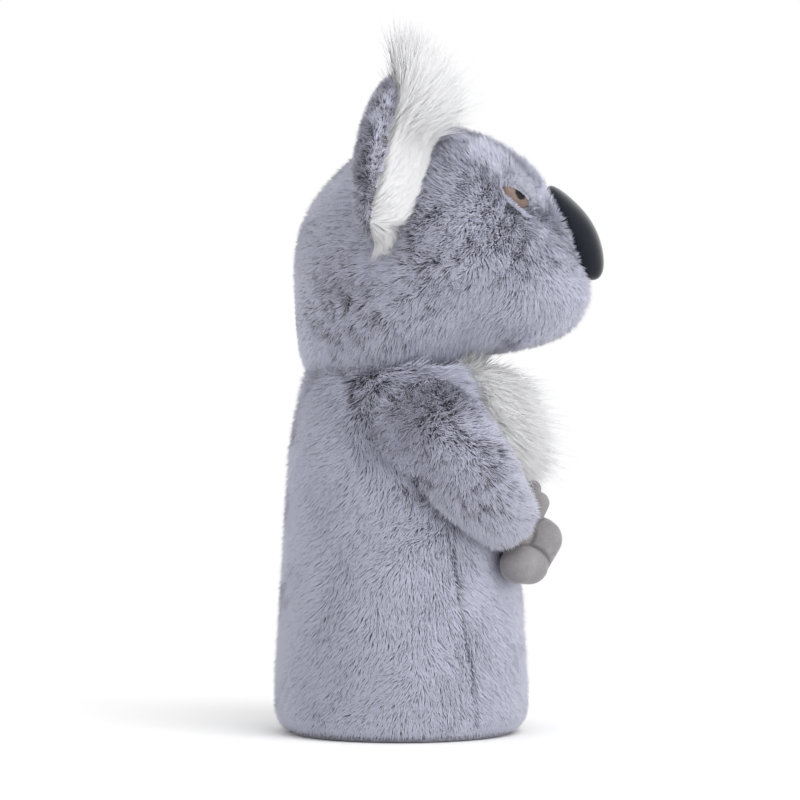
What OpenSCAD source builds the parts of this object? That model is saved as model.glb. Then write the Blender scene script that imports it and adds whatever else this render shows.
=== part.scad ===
// Head cover for a golf driver, made as a plush koala: a lined fur sock, open at the bottom, with a
// stuffed head, cupped ears, a bib of long pile, and stuffed arms that lift at the shoulders.
// Frame: +Z up, the face looks along -Y, +X is the animal's left. The origin is the centre of the mouth.

/* [Sock] */
// Height from the hem to the neck seam
body_h = 168; // [156:1:180]
// Depth over the fur at the hem, front to back
body_depth = 119; // [112:1:128]
// Width over the fur at the hem
body_width = 138; // [130:1:148]
// Reach lost for each millimetre of height
body_taper = 0.06; // [0.03:0.01:0.08]
// Height at which the shoulders begin to round in
shoulder_z = 120; // [110:1:130]
// How far the front draws in at the neck
neck_in_front = 15; // [10:1:18]
// How far the back draws in at the neck
neck_in_back = 7; // [4:1:10]
// How far each side draws in at the neck
neck_in_side = 12; // [8:1:14]
// Height of the rolled lip at the hem
lip_h = 13; // [10:1:16]
// How far the rolled lip turns under
lip_in = 8; // [6:0.5:9]
// Angle from the front to each side seam at the hem
seam_angle = 62; // [54:1:68]
// Height over which the side seam turns in to the bib's edge
seam_turn = 34; // [28:1:40]
// Angle from the front to each edge of the bib
bib_angle = 38; // [32:1:44]

/* [Fabric] */
// Thickness of the fur cloth with its dense pile
fur_t = 5; // [4:0.5:6]
// Gap left between sewn pieces
seam_gap = 0.3; // [0.2:0.05:0.5]
// Thickness of the knitted lining
lining_t = 1.5; // [1:0.25:2]
// Thickness of the turned-in hem
hem_t = 3; // [2:0.5:4]
// Height of the turned-in hem
hem_h = 28; // [20:1:36]

/* [Bib] */
// Height of the bib's lower edge at its middle
bib_z = 108; // [104:1:118]
// How much higher its lower edge is at the sides
bib_rise = 18; // [8:1:20]
// Height over which the bib's pile swells to its full depth
bib_swell_h = 16; // [12:1:22]
// Reach of the bib's pile in front of the mouth's centre
bib_front = 62; // [59:1:64]

/* [Head] */
// Radius of the skull in side view
head_r = 59.5; // [56:0.5:62]
// Half the width of the head, cheek to cheek
head_half_w = 68; // [62:1:74]
// Distance of the head's centre in front of the mouth's centre
head_fwd = 18; // [14:1:22]
// Height of the head's centre over the neck seam
head_up = 51; // [48:1:54]
// Bulge of the muzzle
muzzle_out = 13; // [9:1:15]
// Bulge of the bridge above the nose
bridge_out = 3.5; // [2:0.5:5]
// How far the chin draws in towards the throat
chin_in = 10; // [7:1:12]
// Bulge of the back of the head
back_out = 5.5; // [3:0.5:8]
// Bulge of the nape
nape_out = 22; // [16:1:25]
// Share of its width that the muzzle loses
muzzle_narrow = 0.3; // [0.1:0.05:0.4]
// Width of the strip from the nose to the nape
gusset_w = 46; // [36:1:54]
// Lap of the head's floor on the sock's upper edge
neck_lap = 9; // [7:0.5:10]

/* [Nose] */
// Length of the nose pad, up the muzzle
nose_l = 46; // [42:1:50]
// Width of the nose pad
nose_w = 31; // [26:1:36]
// Height of the nose pad over the fur cloth, at its middle
nose_out = 6; // [4.5:0.5:8]
// How much higher the pad is at its foot and lower at its top, as a share
nose_wedge = 0.45; // [0.2:0.05:0.5]
// Thickness of the nose cover
nose_t = 1.4; // [1:0.2:2]
// Rise of the nose's middle over the head's centre, as an angle
nose_rise = 12; // [10:1:15]

/* [Eyes] */
// Diameter of an eye
eye_d = 17; // [13:0.5:18]
// Height of an eye's dome
eye_h = 5.5; // [4:0.5:7]
// Depth of an eye's rim in the pile
eye_sink = 3; // [1:0.5:3]
// Diameter of the stem behind an eye
stem_d = 5; // [4:0.5:6]
// Length of the stem
stem_l = 15; // [12:1:18]
// Diameter of the lock washer on the stem
washer_d = 17; // [14:0.5:20]
// Thickness of the lock washer
washer_t = 1.4; // [1:0.2:2]
// Height of the eyes in side view, as an angle over the muzzle
eye_rise = 39; // [34:1:44]
// Turn of the eyes away from the middle
eye_turn = 40; // [35:1:44]

/* [Ears] */
// Height of an ear
ear_h = 82; // [70:1:88]
// Width of an ear
ear_w = 78; // [66:1:84]
// Distance of an ear's centre from the middle
ear_x = 65; // [60:1:70]
// Distance of an ear's centre behind the mouth's centre
ear_back_y = 5; // [0:1:9]
// Height of an ear's centre over the head's centre
ear_up = 41; // [37:1:45]
// Forward lean of an ear
ear_lean = 9; // [4:1:12]
// Backward sweep of an ear's outer edge
ear_sweep = 12; // [4:1:18]
// Bulge of the back of an ear
ear_bulge = 12; // [8:1:14]
// Bulge of the white pile in front
ear_pile = 9; // [6:1:12]
// How far the white pile stands over the ear's top
tuft_up = 15; // [10:1:18]
// Thickness of each layer at the ear's rim
ear_rim = 4; // [3:0.5:5]
// How far the white pile stands forward at the top
tuft_fwd = 23; // [16:1:26]

/* [Arms] */
// Depth of the shoulder joint inside the sock's side
shoulder_in = 12; // [9:1:14]
// Distance of the shoulder joint in front of the mouth's centre
shoulder_fwd = 9; // [6:1:12]
// Depth of the shoulder joint below the neck seam
shoulder_down = 22; // [20:1:26]
// How far the bend of the arm's middle line lies outside the sock's side
elbow_out = 16; // [12:1:20]
// Distance of the bend in front of the mouth's centre
elbow_fwd = 32; // [29:1:35]
// Depth of the bend below the neck seam
elbow_down = 49; // [46:1:53]
// Depth of the wrist inside the sock's side
wrist_in = 16; // [13:1:19]
// Distance of the wrist's middle in front of the mouth's centre
wrist_fwd = 46; // [44:1:50]
// Depth of the wrist below the neck seam
wrist_down = 68; // [66:1:71]
// Radius of the arm at the shoulder
shoulder_r = 23; // [20:0.5:24]
// Radius of the arm at its widest
arm_r = 21; // [18:0.5:22.5]
// Radius of the arm at the wrist
wrist_r = 16; // [13:0.5:17]
// Width of the arm across, as a share of its height in side view
arm_flat = 0.8; // [0.7:0.05:0.9]
// How far the arms lift
arm_lift = 35; // [15:1:40]
// Clearance of the arms from the body
arm_gap = 0.8; // [0.6:0.1:1.2]
// Thickness of the sleeve's cloth and pile
sleeve_t = 4; // [3:0.5:5]

/* [Paws] */
// Reach of the fingertips from the middle
paw_tip_x = 3; // [2:0.5:6]
// Distance of the paw's middle in front of the sock
paw_out = 9.5; // [8:0.5:12]
// Depth of the paw's middle below the neck seam
paw_down = 85; // [82:1:88]
// Half the depth of the paw
paw_ry = 10.5; // [9:0.5:11]
// Half the height of the paw
paw_rz = 16; // [13:0.5:17]
// Thickness of the paw cloth
paw_t = 1.2; // [0.8:0.2:1.6]
// Radius of a thumb
thumb_r = 6.5; // [5:0.5:7]

/* [Hidden] */
// Lean of the head's outline: each lobe is an angle in side view and a spread
MUZZLE = [-20, 22];
BRIDGE = [11, 13];
CHIN = [-75, 30];
BACK = [175, 30];
NAPE = [225, 30];
NARROW = [-5, 45];
SHOULDER_POWER = 2.2;
head_z = body_h + head_up;
ear_z = head_z + ear_up;
half_gusset = gusset_w / 2;
FACET = 0.6;              // how far the flats of the cloth's inner face stand in from its true curve
lining_d = fur_t + seam_gap + FACET;
hem_d = lining_d + body_taper * hem_h;
lining_top = body_h - seam_gap;
stem_hole = stem_d + 2 * seam_gap;
WASHER_FIT = 0.1;         // play of the lock washer on the stem
washer_depth = fur_t + 1.6;
CUT = 1;                  // how far a cutting form runs past what it cuts
NECK_CUT = 8;             // how far the neck's opening is cut up past the cloth of the head's floor
BIB_EDGE_SHARE = 0.15;    // share of its swell that the bib has at its lower edge
TRUNK_LEVELS = [0.02, 0.08, 0.36, 0.6, 0.71, 0.8, 0.89, 0.95];
STRIP_JOINT = 10;         // angles in side view at which the head's middle strips meet and end
STRIP_BACK = 214;
STRIP_THROAT = -76;
GAP_TURN = seam_gap / head_r * 180 / PI;
EAR_RHOS = [1, 0.96, 0.84, 0.64, 0.36];
// The crest's share of its way forward and up, for each ring of the ear
CREST = [[0, 0.95], [0.4, 1.1], [1, 0.4], [0.75, -0.2], [0.25, -0.2]];
SHOULDER_DOME = 0.6;      // depth of the arm's round ends, as shares of their radius
WRIST_DOME = 0.4;
PAW_STEPS = [0, 0.14, 0.28, 0.45, 0.6, 0.75, 0.87, 0.95];
AROUND_HEAD = 24;
AROUND_EAR = 16;
AROUND_ARM = 14;

// ---- Helpers -------------------------------------------------------------------------------------

function steps(n) = [for (i = [0:n]) i / n];
function smooth(t) = let (s = min(max(t, 0), 1)) s * s * (3 - 2 * s);
function mix(a, b, t) = a + (b - a) * t;
function unit(v) = v / norm(v);
// An angle brought to -180..180
function turned(a) = a - 360 * round(a / 360);
// A bell round the angle c[0] with the spread c[1]
function lobe(a, c) = exp(-pow(turned(a - c[0]) / c[1], 2));
function flat(rows) = [for (r = rows) each r];
function quad(a, b, c, d) = [[a, b, c], [a, c, d]];

// Faces of a grid of m rows of n points that starts at point k; each row closes on itself if wrap is set.
function grid_faces(k, m, n, wrap, flip) = [
    for (i = [0:m - 2]) for (j = [0:n - (wrap ? 1 : 2)])
        let (a = k + i * n + j, b = k + i * n + (j + 1) % n, c = b + n, d = a + n)
        each flip ? quad(a, d, c, b) : quad(a, b, c, d)];
// Faces of a strip between two equally long lists of point numbers; other sets which diagonal it has.
function strip_faces(p, q, other = false) = [for (i = [0:len(p) - 2])
    each other ? quad(p[i + 1], q[i + 1], q[i], p[i]) : quad(p[i], p[i + 1], q[i + 1], q[i])];
// Faces of a fan from the ring of n points at k to the single point p
function fan_faces(k, n, p, flip) = [for (j = [0:n - 1])
    flip ? [k + (j + 1) % n, k + j, p] : [k + j, k + (j + 1) % n, p]];

// A patch of cloth between an outer and an inner grid of the same size, walled on its four sides.
module patch(outer, inner) {
    m = len(outer);
    n = len(outer[0]);
    k = m * n;
    low = [for (j = [0:n - 1]) j];
    high = [for (j = [0:n - 1]) (m - 1) * n + j];
    left = [for (i = [0:m - 1]) i * n];
    right = [for (i = [0:m - 1]) i * n + n - 1];
    polyhedron(flat(concat(outer, inner)), concat(
        grid_faces(0, m, n, false, false), grid_faces(k, m, n, false, true),
        strip_faces([for (p = low) p + k], low), strip_faces(high, [for (p = high) p + k]),
        strip_faces(left, [for (p = left) p + k]), strip_faces([for (p = right) p + k], right, true)));
}

// A bowl of cloth: rings of points from the rim to a pole, outside and inside, walled at the rim.
module bowl(outer, outer_pole, inner, inner_pole) {
    m = len(outer);
    n = len(outer[0]);
    k = m * n;
    polyhedron(concat(flat(concat(outer, inner)), [outer_pole, inner_pole]), concat(
        grid_faces(0, m, n, true, false), grid_faces(k, m, n, true, true),
        fan_faces((m - 1) * n, n, 2 * k, false), fan_faces(k + (m - 1) * n, n, 2 * k + 1, true),
        [for (j = [0:n - 1]) each quad(k + j, k + (j + 1) % n, (j + 1) % n, j)]));
}

// A stuffed form: rings of points from one pole to the other.
module blob(rings, first_pole, last_pole) {
    m = len(rings);
    n = len(rings[0]);
    polyhedron(concat(flat(rings), [first_pole, last_pole]), concat(
        grid_faces(0, m, n, true, false), fan_faces(0, n, m * n, true),
        fan_faces((m - 1) * n, n, m * n + 1, false)));
}

module ellipse_plate(rx, ry_front, ry_back, h) {
    linear_extrude(h) polygon([for (i = [0:39]) let (a = 9 * i)
        [rx * sin(a), -(cos(a) > 0 ? ry_front : ry_back) * cos(a)]]);
}

module both_sides(left) {
    if (left) children();
    else mirror([1, 0, 0]) children();
}

// ---- Sock ----------------------------------------------------------------------------------------

function rounding(z) = pow(max(0, z - shoulder_z) / (body_h - shoulder_z), SHOULDER_POWER);
function front_reach(z) = body_depth / 2 - body_taper * z - neck_in_front * rounding(z);
function back_reach(z) = body_depth / 2 - body_taper * z - neck_in_back * rounding(z);
function side_reach(z) = body_width / 2 - body_taper * z - neck_in_side * rounding(z);
function lip(z) = z < lip_h ? lip_in * (1 - sqrt(1 - pow(1 - z / lip_h, 2))) : 0;
// Point of the sock at the angle a from the front, the height z and the depth d under the fur. Only the
// outer surface, at a depth of 0 or less, rolls in at the lip.
function sock(a, z, d) = let (in = d > 0 ? d : d + lip(z))
    [(side_reach(z) - in) * sin(a), -((cos(a) > 0 ? front_reach(z) : back_reach(z)) - in) * cos(a), z];
function bib_edge(s) = bib_z + bib_rise * s * s;
function seam(z) = mix(seam_angle, bib_angle, smooth((z - seam_low) / seam_turn));
// Heights that all the sock's pieces share, so that their facets meet along the seams: the lip's quarter
// round, then even steps to where the seam turns in, to the bib's corner and to the neck
LIP_HEIGHTS = [for (i = [1:3]) lip_h * (1 - cos(30 * i))];
seam_top = bib_edge(1);
seam_low = seam_top - seam_turn;
SIDE_HEIGHTS = concat([for (t = [1:3]) mix(lip_h, seam_low, t / 3)],
    [for (t = [1:3]) mix(seam_low, seam_top, t / 3)]);
NECK_HEIGHTS = [for (t = [1:4]) mix(seam_top, body_h, t / 4)];
function gap_angle(z) = seam_gap / side_reach(z) * 90 / PI;

module body_back_panel() {
    function points(d) = [for (z = concat(LIP_HEIGHTS, SIDE_HEIGHTS, NECK_HEIGHTS))
        [for (s = steps(22)) sock(mix(360 - seam(z) - gap_angle(z), seam(z) + gap_angle(z), s), z, d)]];
    color([0.62, 0.63, 0.70]) patch(points(0), points(fur_t));
}

module body_front_panel() {
    // Above the low end of the seam's turn, the rows bend down to the bib's edge.
    function row(h, s) = h <= seam_low ? h : mix(seam_low, bib_edge(s), (h - seam_low) / seam_turn);
    function points(d) = [for (h = concat(LIP_HEIGHTS, SIDE_HEIGHTS)) [for (t = steps(10))
        let (s = 1 - 2 * t) sock(s * (seam(h) - gap_angle(h)), row(h, s), d)]];
    color([0.66, 0.67, 0.74]) patch(points(0), points(fur_t));
}

// The bib's pile hangs from its upper edge and swells in front of the cloth.
function bib_swell(z, s) = (bib_front - front_reach(z)) * (1 - pow(s, 4))
    * smooth((z - bib_edge(s)) / bib_swell_h + BIB_EDGE_SHARE);
module chest_bib() {
    function points(pile) = [for (v = steps(8)) [for (t = steps(10))
        let (s = 1 - 2 * t, z = mix(bib_edge(s) + seam_gap, body_h, v))
        sock(s * (bib_angle - gap_angle(z)), z, pile ? min(0, -bib_swell(z, s)) : fur_t)]];
    color([0.94, 0.94, 0.95]) patch(points(true), points(false));
}

module hem_plate(d, h) ellipse_plate(side_reach(0) - d, front_reach(0) - d, back_reach(0) - d, h);
module hem_facing() {
    color([0.50, 0.50, 0.56]) difference() {
        hem_plate(hem_d, hem_h);
        translate([0, 0, -CUT]) hem_plate(hem_d + hem_t, hem_h + 2 * CUT);
    }
}

module lining_sock() {
    function ring(z, d) = [for (i = [0:23]) sock(-15 * i, z, d)];
    function rings(d, top) = [for (z = concat([hem_h + seam_gap], SIDE_HEIGHTS, NECK_HEIGHTS))
        if (z > hem_h) ring(min(z, top), d)];
    color([0.30, 0.30, 0.34]) bowl(rings(lining_d, lining_top), [0, 0, lining_top],
        rings(lining_d + lining_t, lining_top - lining_t), [0, 0, lining_top - lining_t]);
}

// ---- Head ----------------------------------------------------------------------------------------

// Reach of the head's outline in side view, at the angle th over the forward direction
function head_reach(th) = head_r + muzzle_out * lobe(th, MUZZLE) + bridge_out * lobe(th, BRIDGE)
    - chin_in * lobe(th, CHIN) + back_out * lobe(th, BACK) + nape_out * lobe(th, NAPE);
// Point of the head: th is the angle in side view, ps the turn to the side, d the depth under the fur.
// Below the neck seam the form is flat.
function head(th, ps, d) = let (
    r = (head_reach(th) - d) * cos(ps),
    x = (head_half_w - d) * sin(ps) * (1 - muzzle_narrow * lobe(th, NARROW) * pow(cos(ps), 2)))
    [x, -head_fwd - r * cos(th), max(head_z + r * sin(th), body_h + seam_gap + max(d, 0))];
function head_normal(th, ps) = unit(cross(head(th, ps + 1, 0) - head(th, ps - 1, 0),
    head(th + 1, ps, 0) - head(th - 1, ps, 0)));
function side_turn(x) = asin(x / head_half_w);

module neck_hole(grow, from, to) {
    translate([0, 0, from]) ellipse_plate(side_reach(body_h) - neck_lap + grow,
        front_reach(body_h) - neck_lap + grow, back_reach(body_h) - neck_lap + grow, to - from);
}

// Places its children on the head at an eye, with +Z out of the surface.
module at_eye(left) {
    p = head(eye_rise, eye_turn, 0);
    n = head_normal(eye_rise, eye_turn);
    both_sides(left) translate(p) rotate([0, acos(n[2]), atan2(n[1], n[0])]) children();
}

// Turns to the side of the rows of a side panel, from the middle strip's edge to the cheek
SIDE_TURNS = [for (i = [0:6]) mix(side_turn(half_gusset + seam_gap), 90, i / 7)];
module head_side(left) {
    function rings(d) = [for (ps = SIDE_TURNS) [for (j = [0:AROUND_HEAD - 1])
        head(360 * j / AROUND_HEAD, ps, d)]];
    color([0.60, 0.61, 0.69]) difference() {
        both_sides(left) bowl(rings(0), head(0, 90, 0), rings(fur_t), head(0, 90, fur_t));
        neck_hole(0, body_h - CUT, body_h + fur_t + NECK_CUT);
        at_eye(left) translate([0, 0, -fur_t - 3 * CUT])
            cylinder(d = stem_hole, h = fur_t + 6 * CUT, $fn = 32);
        at_eye(left) translate([0, 0, -eye_sink]) cylinder(d = eye_d + 2 * seam_gap, h = fur_t, $fn = 40);
    }
}
module head_left_panel() head_side(true);
module head_right_panel() head_side(false);

module head_strip(th_from, th_to, n) {
    turn = side_turn(half_gusset);
    function points(d) = [for (v = steps(n)) [for (t = steps(4))
        head(mix(th_from, th_to, v), turn * (1 - 2 * t), d)]];
    patch(points(0), points(fur_t));
}
module head_gusset() color([0.64, 0.65, 0.72]) head_strip(STRIP_JOINT, STRIP_BACK, 16);
module chin_panel() color([0.68, 0.69, 0.75]) head_strip(STRIP_THROAT, STRIP_JOINT - GAP_TURN, 7);

// The head's whole form at the depth d
module head_mass(d) {
    turns = concat([for (i = [6:-1:0]) -SIDE_TURNS[i]], [0], SIDE_TURNS);
    blob([for (ps = turns) [for (j = [0:AROUND_HEAD - 1]) head(360 * j / AROUND_HEAD, ps, d)]],
        head(0, -90, d), head(0, 90, d));
}

module head_filling() {
    d = lining_d + seam_gap;
    color([0.97, 0.97, 0.95]) difference() {
        union() {
            head_mass(d);
            neck_hole(-seam_gap, body_h + seam_gap, body_h + fur_t + NECK_CUT - 3 * CUT);
        }
        for (left = [true, false]) at_eye(left) translate([0, 0, -eye_sink - stem_l - CUT])
            cylinder(d = washer_d + 2 * seam_gap, h = eye_sink + stem_l, $fn = 40);
    }
}

// ---- Nose and eyes -------------------------------------------------------------------------------

// Point of the nose pad: rho runs from its middle to its rim, al round it, h is the height over the fur.
function nose(rho, al, h) = head(nose_rise + nose_l / 2 / (head_r + bridge_out) * 180 / PI * rho * cos(al),
    side_turn(nose_w / 2 / (1 - muzzle_narrow)) * rho * sin(al), -h);
// Height of the pad: flat in the middle and round at the rim, and higher towards its foot
function nose_h(rho, al) = nose_out * (1 - nose_wedge * rho * cos(al)) * sqrt(max(0, 1 - pow(rho, 3)));

module nose_cover() {
    rhos = [1, 0.94, 0.8, 0.58, 0.3];
    function rings(lift, keep) = [for (rho = rhos) [for (j = [0:15])
        nose(rho * keep, 22.5 * j, lift + nose_h(rho, 22.5 * j))]];
    color([0.05, 0.06, 0.10]) bowl(rings(nose_t + seam_gap, 1), nose(0, 0, nose_out + nose_t + seam_gap),
        rings(seam_gap, 0.92), nose(0, 0, nose_out + seam_gap));
}

module nose_filling() {
    rhos = [0.9, 0.75, 0.5, 0.25];
    function ring(rho, lift, up) = [for (j = [0:15])
        nose(rho * 0.9, 22.5 * j, lift + up * nose_h(rho, 22.5 * j))];
    color([0.97, 0.97, 0.95]) blob(
        concat([for (i = [3:-1:1]) ring(rhos[i], seam_gap, 0)], [for (rho = rhos) ring(rho, -seam_gap, 1)]),
        nose(0, 0, seam_gap), nose(0, 0, nose_out - seam_gap));
}

module eye(left) {
    r = eye_d / 2;
    dome_r = (r * r + eye_h * eye_h) / (2 * eye_h);
    color([0.55, 0.38, 0.24]) at_eye(left) {
        translate([0, 0, seam_gap - eye_sink]) intersection() {
            translate([0, 0, eye_h - dome_r]) sphere(dome_r, $fn = 40);
            cylinder(r = r, h = eye_h, $fn = 40);
        }
        translate([0, 0, seam_gap - eye_sink - stem_l]) cylinder(d = stem_d, h = stem_l + CUT, $fn = 32);
    }
}
module eye_left() eye(true);
module eye_right() eye(false);

module eye_washer(left) {
    color([0.85, 0.85, 0.83]) at_eye(left) translate([0, 0, -washer_depth - washer_t]) difference() {
        cylinder(d = washer_d, h = washer_t, $fn = 40);
        translate([0, 0, -CUT]) cylinder(d = stem_d + WASHER_FIT, h = washer_t + 2 * CUT, $fn = 32);
    }
}
module eye_washer_left() eye_washer(true);
module eye_washer_right() eye_washer(false);

// ---- Ears ----------------------------------------------------------------------------------------

// Point of an ear: rho runs from its middle to its rim, al round it from the outer edge, s is the depth
// behind the plane of the rim.
function ear(rho, al, s) = [ear_w / 2 * rho * cos(al), s, ear_h / 2 * rho * sin(al)];
function dish(rho) = sqrt(max(0, 1 - rho * rho));
// The crest carries the ring number i forward and up, most at the ear's top.
function crest(i, al) = pow(max(0, sin(al)), 1.3) * [0, -tuft_fwd * CREST[i][0], tuft_up * CREST[i][1]];
// Rings of a layer; way is 1 for a layer that bulges back and -1 for one that bulges forward.
function ear_ring(i, keep, rim, bulge, way, crested) = [for (j = [0:AROUND_EAR - 1])
    let (al = way * 360 * j / AROUND_EAR, rho = EAR_RHOS[i])
    ear(rho * keep, al, way * (rim + bulge * dish(rho))) + (crested ? crest(i, al) : [0, 0, 0])];
function ear_rings(keep, rim, bulge, way, crested) = [for (i = [0:len(EAR_RHOS) - 1])
    ear_ring(i, keep, rim, bulge, way, crested)];

module ear_place(left) {
    difference() {
        both_sides(left) translate([ear_x, ear_back_y, ear_z]) rotate([ear_lean, 0, ear_sweep]) children();
        head_mass(-seam_gap);
    }
}
// One layer of an ear: a bowl of even thickness at its rim, over the wadding
module ear_layer(left, bulge, way, crested) {
    ear_place(left) bowl(ear_rings(1, ear_rim, bulge, way, crested), ear(0, 0, way * (ear_rim + bulge)),
        ear_rings(0.96, seam_gap, bulge - 1, way, false), ear(0, 0, way * (seam_gap + bulge - 1)));
}
module ear_back(left) color([0.45, 0.44, 0.52]) ear_layer(left, ear_bulge, 1, false);
module ear_front(left) color([0.95, 0.95, 0.96]) ear_layer(left, ear_pile, -1, true);
module ear_filling(left) {
    keep = 0.93;
    color([0.97, 0.97, 0.95]) ear_place(left) blob(
        concat([for (i = [len(EAR_RHOS) - 1:-1:1]) reversed(ear_ring(i, keep, 0, ear_pile - 1, -1, false))],
            ear_rings(keep, 0, ear_bulge - 1, 1, false)),
        ear(0, 0, 1 - ear_pile), ear(0, 0, ear_bulge - 1));
}
// The same ring walked the other way round from its first point
function reversed(ring) = [for (j = [0:len(ring) - 1]) ring[(len(ring) - j) % len(ring)]];
module ear_left_back() ear_back(true);
module ear_right_back() ear_back(false);
module ear_left_front() ear_front(true);
module ear_right_front() ear_front(false);
module ear_left_filling() ear_filling(true);
module ear_right_filling() ear_filling(false);

// ---- Arms and paws -------------------------------------------------------------------------------

// A point of the left arm's middle line, from its reach to the side, its place forward and its depth below
// the neck seam
function arm_point(out, fwd, down) = [side_reach(body_h - down) + out, -fwd, body_h - down];
SHOULDER = arm_point(-shoulder_in, shoulder_fwd, shoulder_down);
ELBOW = arm_point(elbow_out, elbow_fwd, elbow_down);
WRIST = arm_point(-wrist_in, wrist_fwd, wrist_down);
PAW_MID = [-front_reach(body_h - paw_down) - paw_out, body_h - paw_down];
function arm_mid(t) = pow(1 - t, 2) * SHOULDER + 2 * t * (1 - t) * ELBOW + t * t * WRIST;
function arm_dir(t) = unit((1 - t) * (ELBOW - SHOULDER) + t * (WRIST - ELBOW));
function arm_radius(t) = t < 0.5 ? mix(shoulder_r, arm_r, smooth(2 * t))
    : mix(arm_r, wrist_r, smooth(2 * t - 1));
function arm_ring(mid, dir, r) = let (up = unit(cross(dir, [1, 0, 0])), across = cross(up, dir))
    [for (j = [0:AROUND_ARM - 1]) let (a = 360 * j / AROUND_ARM)
        mid + up * r * cos(a) + across * r * arm_flat * sin(a)];
// An end of the arm: p is its middle, out the way it faces, depth the height of its dome
function dome(p, dir, out, r, depth, angles) = [for (a = angles)
    arm_ring(p + dir * out * depth * sin(a), dir, r * cos(a))];

// The arm's form at the depth d; more lengthens it past the wrist.
module arm_form(d, more = 0) {
    r0 = shoulder_r - d;
    r1 = wrist_r - d;
    p1 = WRIST + arm_dir(1) * more;
    blob(concat(dome(SHOULDER, arm_dir(0), -1, r0, SHOULDER_DOME * r0, [70, 40]),
            [for (t = steps(7)) arm_ring(arm_mid(t), arm_dir(t), arm_radius(t) - d)],
            dome(p1, arm_dir(1), 1, r1, WRIST_DOME * r1, [15, 40, 70])),
        SHOULDER - arm_dir(0) * SHOULDER_DOME * r0, p1 + arm_dir(1) * WRIST_DOME * r1);
}

// The sock, bib and head, grown by the gap, which the arm and paw have to clear
module trunk(grow) {
    heights = TRUNK_LEVELS * body_h;
    hull() blob([for (z = concat(heights, [body_h + CUT])) [for (j = [0:29]) sock(-12 * j, z, -grow)]],
        [0, 0, heights[0]], [0, 0, body_h + CUT]);
    patch([for (v = steps(5)) [for (t = steps(8)) let (s = 2 * t - 1,
            z = mix(bib_edge(s) - grow, body_h, v))
            sock(s * (bib_angle + 1), z, min(0, -bib_swell(z, s)) - grow)]],
        [for (v = steps(5)) [for (t = steps(8)) let (s = 2 * t - 1,
            z = mix(bib_edge(s) - grow, body_h, v)) sock(s * (bib_angle + 1), z, fur_t)]]);
    translate([0, 0, -grow]) hull() head_mass(-grow);
}
// The same, swung back through the arm's whole travel
module swept_trunk(grow) {
    for (a = [0:3]) translate(SHOULDER) rotate([arm_lift * a / 3, 0, 0]) translate(-SHOULDER) trunk(grow);
}

module arm_sleeve(left) {
    color([0.55, 0.55, 0.63]) both_sides(left) difference() {
        arm_form(0);
        swept_trunk(arm_gap);
        difference() {
            arm_form(sleeve_t, 3);
            swept_trunk(arm_gap + sleeve_t);
        }
    }
}
module arm_filling(left) {
    color([0.97, 0.97, 0.95]) both_sides(left) difference() {
        arm_form(sleeve_t + seam_gap);
        swept_trunk(arm_gap + sleeve_t + seam_gap);
    }
}
module arm_left_sleeve() arm_sleeve(true);
module arm_right_sleeve() arm_sleeve(false);
module arm_left_filling() arm_filling(true);
module arm_right_filling() arm_filling(false);

function paw_swell(t) = mix(0.72, 1, smooth(t / 0.35))
    * sqrt(max(0, 1 - pow(max(0, (t - 0.45) / 0.55), 2.6)));
function paw_centre(t) = let (w = [WRIST[1], WRIST[2]], p = w + (PAW_MID - w) * smooth(t * 1.7))
    [mix(WRIST[0], paw_tip_x, t), p[0], p[1]];
function paw_ring(t, d) = let (c = paw_centre(t), s = paw_swell(t)) [for (j = [0:AROUND_ARM - 1])
    let (a = 360 * j / AROUND_ARM) c + [0, (paw_ry * s - d) * cos(a), (paw_rz * s - d) * sin(a)]];
module paw_form(d) {
    tip = paw_centre(1);
    blob([for (t = PAW_STEPS) paw_ring(t, d)], paw_centre(0), tip + [d, 0, 0]);
}
// A short stuffed digit from p to q
module digit(p, q, r) {
    dir = unit(q - p);
    up = unit(cross(dir, [1, 0.2, 0]));
    across = cross(up, dir);
    function ring(c, r) = [for (j = [0:7]) c + up * r * cos(45 * j) + across * r * sin(45 * j)];
    blob([ring(p, r * 0.8), ring(mix(p, q, 0.5), r), ring(q, r * 0.95), ring(q + dir * r * 0.6, r * 0.7)],
        p - dir * r * 0.3, q + dir * r * 0.85);
}
module paw_cover(left) {
    r = thumb_r;
    y = PAW_MID[0];
    z = PAW_MID[1] + paw_rz;
    color([0.56, 0.55, 0.54]) both_sides(left) difference() {
        union() {
            paw_form(0);
            digit([4 * r, y + 0.15 * r, z - 0.5 * r], [3.3 * r, y, z + 0.9 * r], r);
            digit([2.5 * r, y - 0.1 * r, z - 0.6 * r], [2 * r, y + 0.2 * r, z + 1.5 * r], 0.8 * r);
        }
        arm_form(-seam_gap);
        swept_trunk(arm_gap);
        paw_form(paw_t);
    }
}
module paw_filling(left) {
    color([0.97, 0.97, 0.95]) both_sides(left) difference() {
        paw_form(paw_t + seam_gap);
        swept_trunk(arm_gap);
        arm_form(-seam_gap);
    }
}
module paw_left_cover() paw_cover(true);
module paw_right_cover() paw_cover(false);
module paw_left_filling() paw_filling(true);
module paw_right_filling() paw_filling(false);

body_back_panel();
body_front_panel();
chest_bib();
hem_facing();
lining_sock();
head_left_panel();
head_right_panel();
head_gusset();
chin_panel();
head_filling();
nose_cover();
nose_filling();
eye_left();
eye_right();
eye_washer_left();
eye_washer_right();
ear_left_back();
ear_right_back();
ear_left_front();
ear_right_front();
ear_left_filling();
ear_right_filling();
arm_left_sleeve();
arm_right_sleeve();
arm_left_filling();
arm_right_filling();
paw_left_cover();
paw_right_cover();
paw_left_filling();
paw_right_filling();
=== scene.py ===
"""Soft goods and finishes of a plush koala head cover for a golf driver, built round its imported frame."""

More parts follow.
